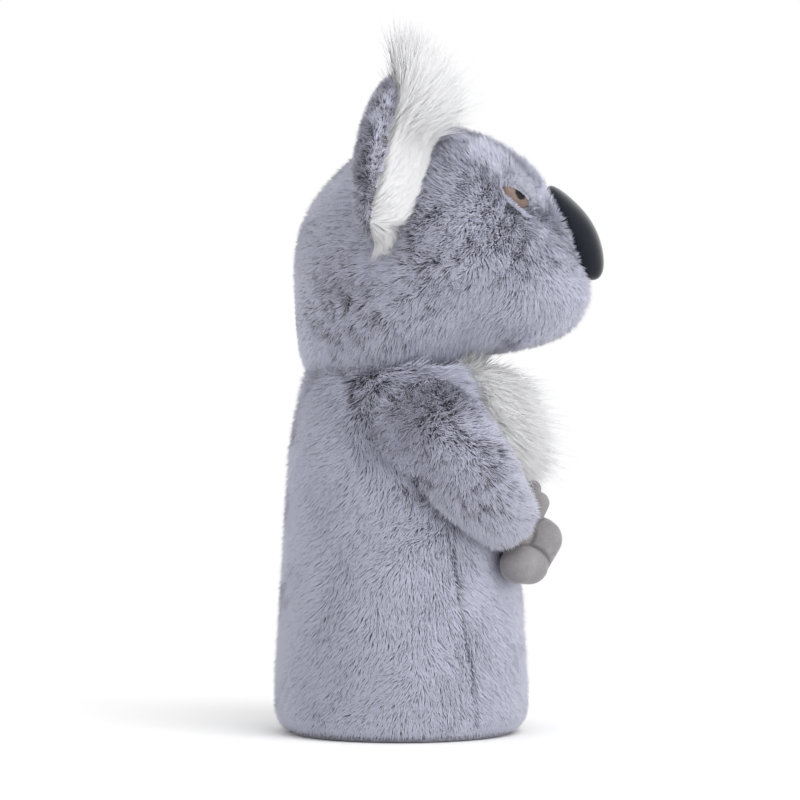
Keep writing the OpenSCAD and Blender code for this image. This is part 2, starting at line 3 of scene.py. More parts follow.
import bpy
import numpy as np
from bpy.props import FloatProperty, FloatVectorProperty, PointerProperty
from bpy.types import Operator, Panel, PropertyGroup
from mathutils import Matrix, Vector


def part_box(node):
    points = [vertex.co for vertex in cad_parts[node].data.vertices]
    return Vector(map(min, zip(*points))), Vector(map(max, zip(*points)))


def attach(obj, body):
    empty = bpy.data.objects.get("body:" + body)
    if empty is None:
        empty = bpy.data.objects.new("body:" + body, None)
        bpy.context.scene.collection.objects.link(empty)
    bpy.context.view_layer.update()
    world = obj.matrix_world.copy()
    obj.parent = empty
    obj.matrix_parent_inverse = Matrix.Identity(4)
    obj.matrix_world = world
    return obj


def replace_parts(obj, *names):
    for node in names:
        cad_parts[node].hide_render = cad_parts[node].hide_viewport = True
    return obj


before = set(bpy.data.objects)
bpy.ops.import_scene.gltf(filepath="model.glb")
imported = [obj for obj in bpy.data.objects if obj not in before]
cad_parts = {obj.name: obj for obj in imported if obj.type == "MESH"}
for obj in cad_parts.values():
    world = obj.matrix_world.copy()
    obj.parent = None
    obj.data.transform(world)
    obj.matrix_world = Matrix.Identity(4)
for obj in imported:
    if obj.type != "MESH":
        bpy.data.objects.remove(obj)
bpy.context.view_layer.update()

bl_info = {
    "name": "Koala Head Cover",
    "version": (1, 0, 0),
    "blender": (4, 5, 0),
    "location": "View3D > Sidebar > Head Cover",
    "description": "Builds the pile, cloth, nose, eyes and paws of a plush koala head cover",
    "category": "Object",
}

MM = 0.001

# ---- Sizes of the sewn cover, in millimetres ------------------

# Sock: its height, depth and width, and how it tapers and rounds in; its lip, seams and bib
BODY_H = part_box("body_back_panel")[1].z / MM
BODY_DEPTH, BODY_WIDTH, BODY_TAPER, SHOULDER_Z = 119, 138, 0.06, 120
NECK_IN_FRONT, NECK_IN_BACK, NECK_IN_SIDE, SHOULDER_POWER = 15, 7, 12, 2.2
LIP_H, LIP_IN = 13, 8
SEAM_ANGLE, BIB_ANGLE, SEAM_TURN = 62, 38, 34
BIB_Z, BIB_RISE = 108, 18
SEAM_TOP = BIB_Z + BIB_RISE
# Head, and the bells on its outline, each with its height, its angle and its spread in degrees
HEAD_R, HEAD_HALF_W, HEAD_FWD, HEAD_Z = 59.5, 68, 18, BODY_H + 51
MUZZLE, BRIDGE, CHIN, BACK, NAPE = (13, -20, 22), (3.5, 11, 13), (-10, -75, 30), (5.5, 175, 30), (22, 225, 30)
MUZZLE_NARROW, NARROW = 0.3, (1, -5, 45)
# Nose, eyes and ears
NOSE_L, NOSE_W, NOSE_OUT, NOSE_T, NOSE_RISE, NOSE_WEDGE = 46, 31, 6, 1.4, 12, 0.45
EYE_D, EYE_H, EYE_RISE, EYE_TURN, EYE_SINK = 17, 5.5, 39, 40, 3
EYE_R, EYE_DOME, STEM_R, STEM_H = EYE_D / 2, 0.85 * EYE_H, 2.4, 6.0
EAR_H, EAR_W, EAR_PLACE, EAR_LEAN, EAR_SWEEP = 82, 78, (65, 5, HEAD_Z + 41), 9, 12
EAR_RIM, EAR_BULGE, EAR_PILE, EAR_SUNK = 4, 12, 9, 6
# Arms and paws
SHOULDER, ELBOW, WRIST = (45.1, -9, 146), (77.9, -32, 119), (47, -46, 100)
SHOULDER_R, ARM_R, WRIST_R, ARM_FLAT, ARM_LIFT, ARM_GAP = 23, 21, 16, 0.8, 35, 0.8
FINGERS = (       # the lobes of the left paw, each from, to and radius
    ((44, -46, 96), (27, -53, 91), 10.0),
    ((42, -53.0, 78.5), (35, -58.0, 78.0), 8.8),
    ((30, -58.5, 79.0), (28, -64.6, 89.5), 8.8),
    ((19, -60.0, 80.0), (17, -65.4, 90.0), 8.2),
    ((9.4, -60.5, 82.5), (8.0, -64.5, 90.0), 7.0),
    ((27, -58, 97), (25, -62.5, 106.0), 5.2),
    ((19, -57, 103), (16, -60, 112.0), 4.4),
)
PAW_VOXEL = 0.0009                    # cells of the paws' skin, in metres
# The creases between the paws' fingers are painted darker as shade, across the width given here
CREASE_W, FINGER_GAP = 2.2, 2.5       # width of a crease between fingers, and the bib's way round them
# Cloth
CLOTH_DEPTH, EAR_DEPTH = 3.2, 5.0     # how far the cloth lies under the pile's surface, and behind the ears
CLOTH_T, SEAM_GAP = 0.8, 0.3
HEM_H, HEM_DEPTH = 28, 7.7
LINING_DEPTH, LINING_T, FACING_T = 6.0, 1.2, 2.4

# ---- How the pile grows ---------------------------------------

AREAS = {         # square millimetres of cloth under each patch of grey pile
    "back half": 21000, "front": 15500, "cheek": 19000, "crown": 19500, "ear": 8000, "ear rim": 4200, "arm": 11500,
}
WHITE_STRANDS, LID_STRANDS = 11000, 2800
WHITE_STOPS, WHITE_WIDTHS = (0.0, 0.34, 0.68), (0.7, 1.0, 0.75)     # rings on a strand of white pile
ROOT_LEAN = 0.35                  # how far a strand leans over at its root
LENGTH_SPREAD = (0.82, 1.12)      # shares of its length between which strands vary
STRAND_T = 0.6                    # a strand's thickness over its width
FLOOR_GAP = 0.1
SLOW_RUFFLE, QUICK_RUFFLE, TUFT = 34, 8, 1.9      # sizes of the ruffles and of the small tufts in the grey pile
# Lids: the share that lies below an eye; over the slit and below it, where they start and how far they reach, in
# the eye's radii; and their lengths
LOW_LID, LID_BAND, LOW_LID_BAND, LID_REACH, LOW_LID_REACH = 0.15, (-0.42, 1.2), (1.05, 1.3), 1.15, 1.4
LID_LENGTHS, LOW_LID_LENGTH = (4.6, 6.2), 4.0
WHITE_TURN = (58, -4)             # degrees forward from upright of an ear's white strands, at its middle and its top
RIM_START, RIM_W = 0.65, 0.44     # where the grey rim of an ear's front may begin, along v, and how wide it is
BIB_TOP = 0.86                    # where the bib's strands begin to stand up to the chin, along v

# ---- The stage, in metres -------------------------------------

SENSOR, CAMERA_Y = 36, 0.0005     # width of the camera's sensor, in millimetres, and how far back it stands
FLOOR_REACH, FLOOR_FADE = 2500, (0.13, 0.42)      # in millimetres, and where the floor turns white for the camera
KEY_PLACE, FRONT_PLACE, LAMP_SIZE, LAMP_AIM = (-0.7, -0.5, 1.3), (-1.1, -1.1, 0.28), 1.0, 0.15

# ---- Numbers and fields ---------------------------------------


def sind(a):
    """Sine of an angle in degrees."""
    return np.sin(np.radians(a))


def cosd(a):
    """Cosine of an angle in degrees."""
    return np.cos(np.radians(a))


def smooth(t):
    """0 below 0, 1 above 1, and 3t squared less 2t cubed between."""
    s = np.clip(t, 0, 1)
    return s * s * (3 - 2 * s)


def fade(t, start, end):
    """0 up to the start and 1 from the end on, with a smooth step between; the end may lie below the start."""
    return smooth((t - start) / (end - start))


def mix(a, b, t):
    """a where t is 0, b where it is 1, and in proportion between."""
    return a + (b - a) * t


def unit(v):
    """Each vector over its own length."""
    return v / np.maximum(np.linalg.norm(v, axis=-1, keepdims=True), 1e-9)


def dot(a, b):
    """Dot product of each pair of vectors, kept as a column."""
    return (a * b).sum(-1, keepdims=True)


def lobe(th, c):
    """A bell of height c[0] round the angle c[1], with the spread c[2] in degrees."""
    turned = (th - c[1] + 180) % 360 - 180
    return c[0] * np.exp(-((turned / c[2]) ** 2))


def spot(p, centre, radii):
    """A bell in space: e to the minus squared distance from the centre, measured in radii along each axis."""
    return np.exp(-(((p - centre) / radii) ** 2).sum(-1))


def waves(p, size, seed):
    """Smooth noise from -1 to 1: the mean of seven sines that run in random directions, about size long."""
    rng = np.random.default_rng(seed)
    way = unit(rng.normal(size=(7, 3))) * rng.uniform(0.7, 1.5, (7, 1)) * 2 * np.pi / size
    return np.clip(np.sin(p @ way.T + rng.uniform(0, 2 * np.pi, 7)).mean(-1) * 2, -1, 1)


def waves3(p, size, seed):
    """Three such noises, as the parts of a vector."""
    return np.stack([waves(p, size, seed + k) for k in range(3)], -1)


def scrambled(cell, k):
    """A number from 0 to 1 for each cell of a lattice, from the fraction of a large sine."""
    return np.modf(np.abs(np.sin(cell @ (127.1, 311.7, 74.7) + 17.3 * k) * 43758.5453))[0]


# ---- Forms of the cover ---------------------------------------


def rounding(z):
    """How far the sock has rounded in: 0 up to the shoulder, then a power of the share of the way to the neck."""
    return (np.maximum(0, z - SHOULDER_Z) / (BODY_H - SHOULDER_Z)) ** SHOULDER_POWER


def reaches(z):
    """Half width, front reach and back reach of the sock at a height: they taper, then round in to the neck."""
    base, turn = -BODY_TAPER * z, rounding(z)
    return (
        BODY_WIDTH / 2 + base - NECK_IN_SIDE * turn,
        BODY_DEPTH / 2 + base - NECK_IN_FRONT * turn,
        BODY_DEPTH / 2 + base - NECK_IN_BACK * turn,
    )


def neck_share(p):
    """How far out points lie over the neck, as a share of its reach."""
    side, front, back = reaches(BODY_H)
    return np.hypot(p[:, 0] / side, p[:, 1] / np.where(p[:, 1] < 0, front, back))


def sock(a, z, inset):
    """Point of the sock: an ellipse at each height, at the angle a from the front, drawn in by inset."""
    side, front, back = reaches(z)
    along = np.where(cosd(a) > 0, front, back)
    return np.stack([(side - inset) * sind(a), -(along - inset) * cosd(a), z + 0 * a], -1)


def lip_profile(s, top, d):
    """Height and inset of the sock's cloth at the depth d: a quarter ellipse round the hem's lip over the first
    share of s, then straight up."""
    share = 0.09
    turn, up = np.clip(s / share, 0, 1) * 90, np.clip((s - share) / (1 - share), 0, 1)
    z = np.where(s < share, LIP_H - (LIP_H - d) * cosd(turn), mix(LIP_H, top, up))
    return z, np.where(s < share, LIP_IN - (LIP_IN - d) * sind(turn), d)


def seam(z):
    """Angle of the side seam: steady, then turning in to the bib's edge."""
    return mix(SEAM_ANGLE, BIB_ANGLE, fade(z, SEAM_TOP - SEAM_TURN, SEAM_TOP))


def bib_edge(s):
    """Height of the bib's lower edge: a parabola over s, which runs from -1 to 1 across the front."""
    return BIB_Z + BIB_RISE * s * s


def back_cloth(u, v, d=CLOTH_DEPTH):
    """The sock's back panel: u runs round the back from seam to seam, v up from the hem to the neck."""
    z, inset = lip_profile(v, BODY_H, d)
    edge = seam(z) + 0.15
    return sock(mix(edge, 360 - edge, u), z, inset)


def front_cloth(u, v, d=CLOTH_DEPTH):
    """The sock's front panel: u from seam to seam, v from the hem to the bib's curved lower edge."""
    s = 2 * u - 1
    z, inset = lip_profile(v, bib_edge(s), d)
    return sock(s * (seam(z) - 0.15), z, inset)


def bib_cloth(u, v, d=CLOTH_DEPTH):
    """The chest bib: u from edge to edge, v from its lower edge to the neck."""
    s = 2 * u - 1
    z = mix(bib_edge(s) + SEAM_GAP, BODY_H, v)
    return sock(s * (BIB_ANGLE - 0.15), z, d + 0 * z)


def head_reach(th):
    """Reach of the head in side view: a circle with bells for muzzle, bridge, back and nape, less one for the
    chin."""
    return HEAD_R + sum(lobe(th, c) for c in (MUZZLE, BRIDGE, CHIN, BACK, NAPE))


def head(th, ps, d):
    """Point of the head: th is the angle in side view, ps the turn to the side, d the depth; flat over the neck."""
    r = (head_reach(th) - d) * cosd(ps)
    x = (HEAD_HALF_W - d) * sind(ps) * (1 - MUZZLE_NARROW * lobe(th, NARROW) * cosd(ps) ** 2)
    z = np.maximum(HEAD_Z + r * sind(th), BODY_H + SEAM_GAP)
    return np.stack([x, -HEAD_FWD - r * cosd(th), z], -1)


def head_cloth(u, v, d=CLOTH_DEPTH):
    """The whole head: u goes round in side view, v from the left cheek to the right."""
    return head(360 * u, 90 - 180 * v, d)


def in_head(p, grow=0):
    """Whether points lie in the head: the squares of their shares of its reach and half width sum under 1."""
    y, z = -p[..., 1] - HEAD_FWD, p[..., 2] - HEAD_Z
    th = np.degrees(np.arctan2(z, y))
    share = (np.hypot(y, z) / (head_reach(th) + grow)) ** 2 + (p[..., 0] / (HEAD_HALF_W + grow)) ** 2
    return (share < 1) & (p[..., 2] > BODY_H)


def side_turn(x):
    """The turn to the side at which the head is x from its middle: the arcsine of its share of the half width."""
    return np.degrees(np.arcsin(x / HEAD_HALF_W))


def nose(rho, al, h):
    """Point of the nose pad: rho runs out to its rim, al round it, h is the height over the head."""
    long = NOSE_L / 2 / (HEAD_R + BRIDGE[0]) * 180 / np.pi
    wide = side_turn(NOSE_W / 2 / (1 - MUZZLE_NARROW))
    return head(NOSE_RISE + long * rho * cosd(al), wide * rho * sind(al), -h)


def nose_height(rho, al):
    """Height of the nose pad: flat in the middle and round at the rim, and higher towards its foot."""
    return (NOSE_OUT + NOSE_T) * (1 - NOSE_WEDGE * rho * cosd(al)) * np.sqrt(np.maximum(0, 1 - rho ** 3))


def eye_frame():
    """Middle, across, up and out directions of the left eye's seat on the head."""
    p = head(EYE_RISE, EYE_TURN, 0)
    out = unit(np.cross(
        head(EYE_RISE, EYE_TURN + 1, 0) - head(EYE_RISE, EYE_TURN - 1, 0),
        head(EYE_RISE + 1, EYE_TURN, 0) - head(EYE_RISE - 1, EYE_TURN, 0)))
    across = unit(np.cross((0, 0, 1), out))
    return p, across, np.cross(out, across), out


def ear_place(p):
    """An ear's own points, leaned forward, swept back and set beside the head."""
    x, y, z = p[..., 0], p[..., 1], p[..., 2]
    y, z = y * cosd(EAR_LEAN) - z * sind(EAR_LEAN), y * sind(EAR_LEAN) + z * cosd(EAR_LEAN)
    x, y = x * cosd(EAR_SWEEP) - y * sind(EAR_SWEEP), x * sind(EAR_SWEEP) + y * cosd(EAR_SWEEP)
    return np.stack([x, y, z], -1) + EAR_PLACE


def ear_disc(rho, al, s):
    """Point of an ear: rho along the radius of an upright ellipse at the angle al, and s behind it."""
    return ear_place(np.stack([EAR_W / 2 * rho * cosd(al), s, EAR_H / 2 * rho * sind(al)], -1))


def ear_back_cloth(u, v, d=EAR_DEPTH):
    """The back of an ear: u goes round, v from the middle to the rim; it bulges by the root of 1 less rho squared."""
    rho, keep = sind(90 * v), 1 - 2 * d / EAR_W
    return ear_disc(rho * keep, -360 * u, np.sqrt(1 - rho ** 2) * (EAR_RIM + EAR_BULGE - d))


def ear_front_cloth(u, v, d=CLOTH_DEPTH):
    """The front of an ear, as its back but bulging forward by the thickness of its pile."""
    rho, keep = sind(90 * v), 1 - 2 * d / EAR_W
    return ear_disc(rho * keep, 360 * u, -np.sqrt(1 - rho ** 2) * (EAR_RIM + EAR_PILE - d))


def arm_mid(t):
    """The arm's middle line: the quadratic curve from shoulder to wrist that bends towards the elbow."""
    t = np.asarray(t)[..., None]
    return (1 - t) ** 2 * np.array(SHOULDER) + 2 * t * (1 - t) * np.array(ELBOW) + t * t * np.array(WRIST)


def arm_way(t):
    """Direction of the arm's middle line: from shoulder to elbow at its start, turning in proportion to the wrist."""
    t = np.asarray(t)[..., None]
    return unit((1 - t) * np.subtract(ELBOW, SHOULDER) + t * np.subtract(WRIST, ELBOW))


def cleared(p, grow):
    """Moves points out sideways until they clear the sock, grown, at every angle of the arm's lift."""
    y, z, need = p[..., 1] - SHOULDER[1], p[..., 2] - SHOULDER[2], 0
    for a in np.linspace(0, ARM_LIFT, 5):
        yy, zz = SHOULDER[1] + y * cosd(a) + z * sind(a), SHOULDER[2] + z * cosd(a) - y * sind(a)
        side, front, back = reaches(np.clip(zz, 0, BODY_H))
        share = yy / np.where(yy < 0, front + grow, back + grow)
        inside = (np.abs(share) < 1) & (zz < BODY_H)
        need = np.maximum(need, np.where(inside, (side + grow) * np.sqrt(np.maximum(0, 1 - share ** 2)), 0))
    return np.concatenate([np.maximum(p[..., :1], np.asarray(need)[..., None]), p[..., 1:]], -1)


def arm_cloth(u, v, d=CLOTH_DEPTH):
    """An arm's sleeve: u goes round it, v along it, with a round end at the shoulder and a turned-in cuff."""
    t = np.clip((v - 0.12) / 0.8, 0, 1)
    way, mid = arm_way(t), arm_mid(t)
    r = np.where(t < 0.5, mix(SHOULDER_R, ARM_R, smooth(2 * t)), mix(ARM_R, WRIST_R, smooth(2 * t - 1))) - d
    start, end = np.clip(1 - v / 0.12, 0, 1), np.clip((v - 0.92) / 0.08, 0, 1)
    mid = mid + way * (r * (0.4 * sind(80 * end) - 0.6 * sind(90 * start)))[..., None]
    r = r * cosd(90 * start) * (1 - 0.45 * end ** 2)
    up = unit(np.cross(way, (1, 0, 0)))
    across = np.cross(up, way)
    p = mid + up * (r * cosd(360 * u))[..., None] + across * (r * ARM_FLAT * sind(360 * u))[..., None]
    return cleared(p, ARM_GAP + d)


def mirrored(p, left):
    """Points or directions as they are on the left, or else on the animal's right side."""
    return p if left else p * (-1, 1, 1)


def sided(p):
    """Points moved over to the animal's left side."""
    return np.stack([np.abs(p[..., 0]), p[..., 1], p[..., 2]], -1)


def off_finger(points, p, q, r):
    """Distance of points from a finger of the left paw: that from the line p to q, less the radius."""
    p, way = np.array(p, float), np.subtract(q, p)
    t = np.clip((points - p) @ way / (way @ way), 0, 1)[:, None]
    return np.linalg.norm(points - p - t * way, axis=1) - r


def stretch(surface, low, high):
    """The part of a surface between two of its heights, low and high along v."""
    return lambda u, v: surface(u, mix(low, high, v))


# ---- Meshes ---------------------------------------------------


def placed(name, data):
    """A new object for a mesh, a lamp or a camera, linked to the scene."""
    obj = bpy.data.objects.new(name, data)
    bpy.context.scene.collection.objects.link(obj)
    return obj


def mesh_piece(name, points, groups, body, material, solid=True):
    """A mesh from points in millimetres and groups of equal faces, riding on a body of the frame. A solid whose
    volume comes out negative has its faces turned over."""
    if solid:
        volume = sum(np.einsum("ij,ij->", points[g[:, 0]], np.cross(points[g[:, k]], points[g[:, k + 1]]))
                     for g in groups for k in range(1, g.shape[1] - 1))
        groups = [g[:, ::-1] for g in groups] if volume < 0 else groups
    sizes = np.concatenate([np.full(len(g), g.shape[1]) for g in groups])
    corners = np.concatenate([g.ravel() for g in groups])
    mesh = bpy.data.meshes.new(name)
    mesh.vertices.add(len(points))
    mesh.vertices.foreach_set("co", (points * MM).astype(np.float32).ravel())
    mesh.loops.add(len(corners))
    mesh.loops.foreach_set("vertex_index", corners.astype(np.int32))
    mesh.polygons.add(len(sizes))
    mesh.polygons.foreach_set("loop_start", (np.cumsum(sizes) - sizes).astype(np.int32))
    mesh.polygons.foreach_set("use_smooth", np.ones(len(sizes), bool))
    mesh.update(calc_edges=True)
    mesh.materials.append(material)
    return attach(placed(name, mesh), body)


def coordinates(obj):
    """An object's points in metres, one row each."""
    co = np.empty(len(obj.data.vertices) * 3, np.float32)
    obj.data.vertices.foreach_get("co", co)
    return co.reshape(-1, 3)


def keep_values(obj, label, values):
    """Keeps a number at each point of a mesh, for its material to read."""
    obj.data.attributes.new(label, "FLOAT", "POINT").data.foreach_set("value", values.astype(np.float32))


def grid_quads(m, n, wrap):
    """Quads of a grid of m rows of n points; each row closes on itself where wrap is set."""
    i, j = np.meshgrid(np.arange(m - 1), np.arange(n if wrap else n - 1), indexing="ij")
    a, b = i * n + j, i * n + (j + 1) % n
    return np.stack([a, b, b + n, a + n], -1).reshape(-1, 4)


def grid(surface, m, n, turns=False):
    """Points of a surface on m rows up by n steps along; a surface that turns doesn't repeat its first column."""
    v, u = np.meshgrid(np.linspace(0, 1, m), np.linspace(0, 1, n, endpoint=not turns), indexing="ij")
    return surface(u, v)


def cloth_patch(name, surface, m, n, body, material):
    """Cloth with four edges: a grid on the surface, one a cloth's thickness under it, and walls round the edge."""
    outer = grid(surface, m, n).reshape(-1, 3)
    inner = grid(lambda u, v: surface(u, v, CLOTH_DEPTH + CLOTH_T), m, n).reshape(-1, 3)
    k, faces = m * n, grid_quads(m, n, False)
    rim = np.concatenate([np.arange(n), np.arange(2 * n - 1, k, n), np.arange(k - 2, k - n - 1, -1),
                          np.arange(k - 2 * n, 0, -n)])
    after = np.roll(rim, -1)
    walls = np.stack([after, rim, rim + k, after + k], -1)
    return mesh_piece(name, np.concatenate([outer, inner]), [faces, faces[:, ::-1] + k, walls], body, material)


def fans(m, n, first, last):
    """Triangles that close the first and the last of m rings of n points, each with a point of its own."""
    j, k = np.arange(n), (m - 1) * n
    return (np.stack([(j + 1) % n, j, 0 * j + first], -1),
            np.stack([k + j, k + (j + 1) % n, 0 * j + last], -1))


def closed_form(name, rings, body, material):
    """A closed form from rings of points, with each end closed by a point at its ring's middle."""
    m, n = rings.shape[:2]
    points = np.concatenate([rings.reshape(-1, 3), rings[:1].mean(1), rings[-1:].mean(1)])
    return mesh_piece(name, points, [grid_quads(m, n, True), *fans(m, n, m * n, m * n + 1)], body, material)


def bowl(name, outer, inner, body, material, pole=True):
    """A wall between two sets of rings that meet at the rim, with the far ends closed by points or, without a pole,
    by a second rim."""
    m, n = outer.shape[:2]
    k, j = m * n, np.arange(n)
    points, sides = np.concatenate([outer.reshape(-1, 3), inner.reshape(-1, 3)]), grid_quads(m, n, True)
    groups = [sides, sides[:, ::-1] + k, np.stack([(j + 1) % n, j, k + j, k + (j + 1) % n], -1)]
    if pole:
        points = np.concatenate([points, outer[-1:].mean(1), inner[-1:].mean(1)])
        groups += [fans(m, n, 0, 2 * k)[1], fans(m, n, 0, k + 1)[1][:, ::-1] + k]
    else:
        far = k - n + j
        groups.append(np.stack([far, k - n + (j + 1) % n, 2 * k - n + (j + 1) % n, k + far], -1))
    return mesh_piece(name, points, groups, body, material)


# ---- Pile -----------------------------------------------------


def scatter(surface, count, rng):
    """Points spread evenly over a surface, drawn cell by cell of a fine grid by area, with the normals that face away
    from the points' own middle."""
    m, n, e = 160, 240, 0.002
    p = grid(surface, m + 1, n + 1)
    cell = np.linalg.norm(np.cross(p[1:, :-1] - p[:-1, :-1], p[:-1, 1:] - p[:-1, :-1]), axis=-1).ravel()
    total = np.cumsum(cell)
    picked = np.searchsorted(total, (np.arange(count) + rng.random(count)) / count * total[-1])
    picked = np.minimum(picked, m * n - 1)
    u = (picked % n + rng.random(count)) / n
    v = (picked // n + rng.random(count)) / m
    along = surface(np.minimum(u + e, 1), v) - surface(np.maximum(u - e, 0), v)
    upward = surface(u, np.minimum(v + e, 1)) - surface(u, np.maximum(v - e, 0))
    roots, normals = surface(u, v), unit(np.cross(along, upward))
    outward = 1 if dot(normals, roots - roots.mean(0)).mean() > 0 else -1
    return roots, normals * outward, u, v


def combed(way, normal):
    """Directions laid along the surface: each with its part along the normal taken off."""
    return unit(way - normal * dot(way, normal))


def strand_faces(rings):
    """Triangles of one strand: its base, its tip, and the walls between its rings of three points."""
    j = np.arange(3)
    ring, following = 3 * np.arange(rings)[:, None] + j, 3 * np.arange(rings)[:, None] + (j + 1) % 3
    faces = [ring[0][None, ::-1], np.stack([ring[-1], following[-1], 0 * j + 3 * rings], -1)]
    for k in range(rings - 1):
        faces += [np.stack([ring[k], following[k], following[k + 1]], -1),
                  np.stack([ring[k], following[k + 1], ring[k + 1]], -1)]
    return np.concatenate(faces)


def strand_map(count, rings, along):
    """Flat places of all strands' points: each strand upright in a square cell of its own, row by row."""
    side = int(np.ceil(np.sqrt(count)))
    corner = np.stack([np.arange(count) % side, np.arange(count) // side], -1)[:, None]
    across = np.append(np.tile([0.15, 0.5, 0.85], rings), 0.5)
    return ((corner + np.stack([across, 0.06 + 0.88 * along], -1)) / side).reshape(-1, 2)


def pile(name, roots, normals, lie, length, width, rise, shade, body, material, slot, stops=(0.0,), widths=(1.0,),
         clump=2.6, pull=0.3, fray=0.16, seed=1, bend=None, rounded=0.5):
    """Strands of pile. Each one's path runs from its root along a direction that turns steadily from near the normal
    to the lie, drawn towards the middle of its tuft; on it stand rings of three points, and then a tip. Its corners
    are shaded mostly as the surface that carries it, and as round by the share rounded."""
    rng = np.random.default_rng(seed)
    count, rings = len(roots), len(stops)
    lie = unit(lie + rng.normal(scale=fray, size=(count, 3)))
    first = unit(normals + ROOT_LEAN * lie)
    last = unit(lie + normals * rise[:, None])
    cell = np.floor(roots / clump)
    middle = (cell + np.stack([scrambled(cell, k) for k in range(3)], -1)) * clump
    gather = middle - roots
    gather = (gather - normals * dot(gather, normals)) * pull
    length = length * rng.uniform(*LENGTH_SPREAD, count) * (0.9 + 0.2 * scrambled(cell, 5))

    def path(t):
        """Points at the share t of every strand's length."""
        way = (t - t * t / 2) * first + t * t / 2 * last
        p = roots + way * length[:, None] + gather * t * t
        if bend is not None:
            p = p + bend * (length * t ** 3)[:, None]
        return p

    points = np.empty((count, 3 * rings + 1, 3))
    points[:, -1] = path(1.0)
    for k, (t, w) in enumerate(zip(stops, widths)):
        p, way = path(t), unit(path(min(t + 0.2, 1)) - path(max(t - 0.2, 0)))
        across = unit(np.cross(normals + 0.2 * lie, way))
        above = np.cross(way, across)
        for j in range(3):
            a = 90 + 120 * j
            points[:, 3 * k + j] = p + (across * cosd(a) + above * sind(a) * STRAND_T) * width * w / 2
    points[..., 2] = np.maximum(points[..., 2], FLOOR_GAP)
    per, along = 3 * rings + 1, np.append(np.repeat(stops, 3), 1)
    faces = (strand_faces(rings)[None] + per * np.arange(count)[:, None, None]).reshape(-1, 3)
    obj = mesh_piece(name, points.reshape(-1, 3), [faces], body, material, False)
    keep_values(obj, "along", np.tile(along, count))
    keep_values(obj, "shade", np.repeat(shade, per))
    uv = strand_map(count, rings, along)[faces.ravel()]
    obj.data.uv_layers.new(name="OFBake").data.foreach_set("uv", uv.astype(np.float32).ravel())
    soft = unit(np.repeat(normals[:, None] * 0.9 + 0.3 * lie[:, None], per, 1) + rounded * unit(
        points - np.repeat(points.mean(1, keepdims=True), per, 1)))
    obj.data.normals_split_custom_set_from_vertices(soft.reshape(-1, 3))
    return obj


# ---- Finishes -------------------------------------------------


def finish_of(name, roughness, specular=0.25, **constants):
    """A new material with its principled shader, whose even values are set on the sockets themselves."""
    made = bpy.data.materials.new(name)
    made.use_nodes = True
    shader = made.node_tree.nodes["Principled BSDF"]
    shader.inputs["Roughness"].default_value = roughness
    shader.inputs["Specular IOR Level"].default_value = specular
    for socket, value in constants.items():
        shader.inputs[socket.replace("_", " ")].default_value = value
    return made, made.node_tree, shader


def node(tree, kind, inputs=(), **settings):
    """A node of a kind, with its settings, and each input given as a value or as the socket that feeds it."""
    made = tree.nodes.new("ShaderNode" + kind)
    for key, value in settings.items():
        setattr(made, key, value)
    for key, value in dict(inputs).items():
        if isinstance(value, bpy.types.NodeSocket):
            tree.links.new(value, made.inputs[key])
        else:
            made.inputs[key].default_value = value
    return made


def own_place(tree):
    """Points in the object's own space."""
    return node(tree, "TexCoord").outputs["Object"]


def tint(tree, shader, tone, *stops):
    """Colours a finish by the socket tone, from stop to stop, each a tone and its colour."""
    made = node(tree, "ValToRGB", {"Fac": tone})
    points = made.color_ramp.elements
    while len(points) < len(stops):
        points.new(0.5)
    for point, (at, colour) in zip(points, stops):
        point.position, point.color = at, (*colour, 1)
    tree.links.new(made.outputs["Color"], shader.inputs["Base Color"])


def noise(tree, scale, detail=2.0, roughness=0.5):
    """Noise through the object's own space; scale is in repeats a metre."""
    return node(tree, "TexNoise", {"Vector": own_place(tree), "Scale": scale, "Detail": detail,
                                   "Roughness": roughness}).outputs["Fac"]


def math_node(tree, operation, a, b=0.0):
    """The outcome of one operation on two sockets or values."""
    return node(tree, "Math", {0: a, 1: b}, operation=operation).outputs[0]


def kept_value(tree, label):
    """The number that a mesh keeps at its points under a label."""
    return node(tree, "Attribute", attribute_name=label).outputs["Fac"]


def weighted(tree, a, weight, b):
    """a times its weight, and b times the rest of it."""
    return math_node(tree, "ADD", math_node(tree, "MULTIPLY", a, weight), math_node(tree, "MULTIPLY", b, 1 - weight))


def relief(tree, shader, height, strength, distance):
    """Bumps on a finish, from a socket that gives their height."""
    bump = node(tree, "Bump", {"Height": height, "Strength": strength, "Distance": distance})
    tree.links.new(bump.outputs["Normal"], shader.inputs["Normal"])


def pile_finish(name, root, middle, tip, patches=0.16):
    """Two-toned pile: dark at the root and pale at the tip; shade moves the change of tone up the strand."""
    made, tree, shader = finish_of(name, 0.75, 0.2, Sheen_Weight=0.25, Sheen_Roughness=0.5)
    drift = math_node(tree, "MULTIPLY", noise(tree, 55.0, 3.0), patches * 2)
    tone = math_node(tree, "SUBTRACT", math_node(
        tree, "SUBTRACT", kept_value(tree, "along"), kept_value(tree, "shade")), drift)
    tone = math_node(tree, "ADD", tone, patches)
    tint(tree, shader, tone, (0.0, root), (0.42, middle), (0.8, tip))
    return made


def cloth_finish(name, colour, scale=150.0, depth=0.25):
    """Backing cloth: a knit of fine loops, as two crossed waves with noise, in colour and in relief."""
    made, tree, shader = finish_of(name, 0.9, 0.15, Sheen_Weight=0.15)
    rows, wales = [node(tree, "TexWave", {"Vector": own_place(tree), "Scale": scale, "Distortion": 1.5},
                        bands_direction=way) for way in ("Z", "X")]
    loops = math_node(tree, "MULTIPLY", rows.outputs["Fac"], wales.outputs["Fac"])
    dark, pale = [tuple(c * k for c in colour) for k in (0.62, 1.15)]
    tone = weighted(tree, loops, 0.6, noise(tree, 60.0, 4.0))
    tint(tree, shader, tone, (0.1, dark), (0.9, pale))
    relief(tree, shader, loops, depth, 0.0004)
    return made


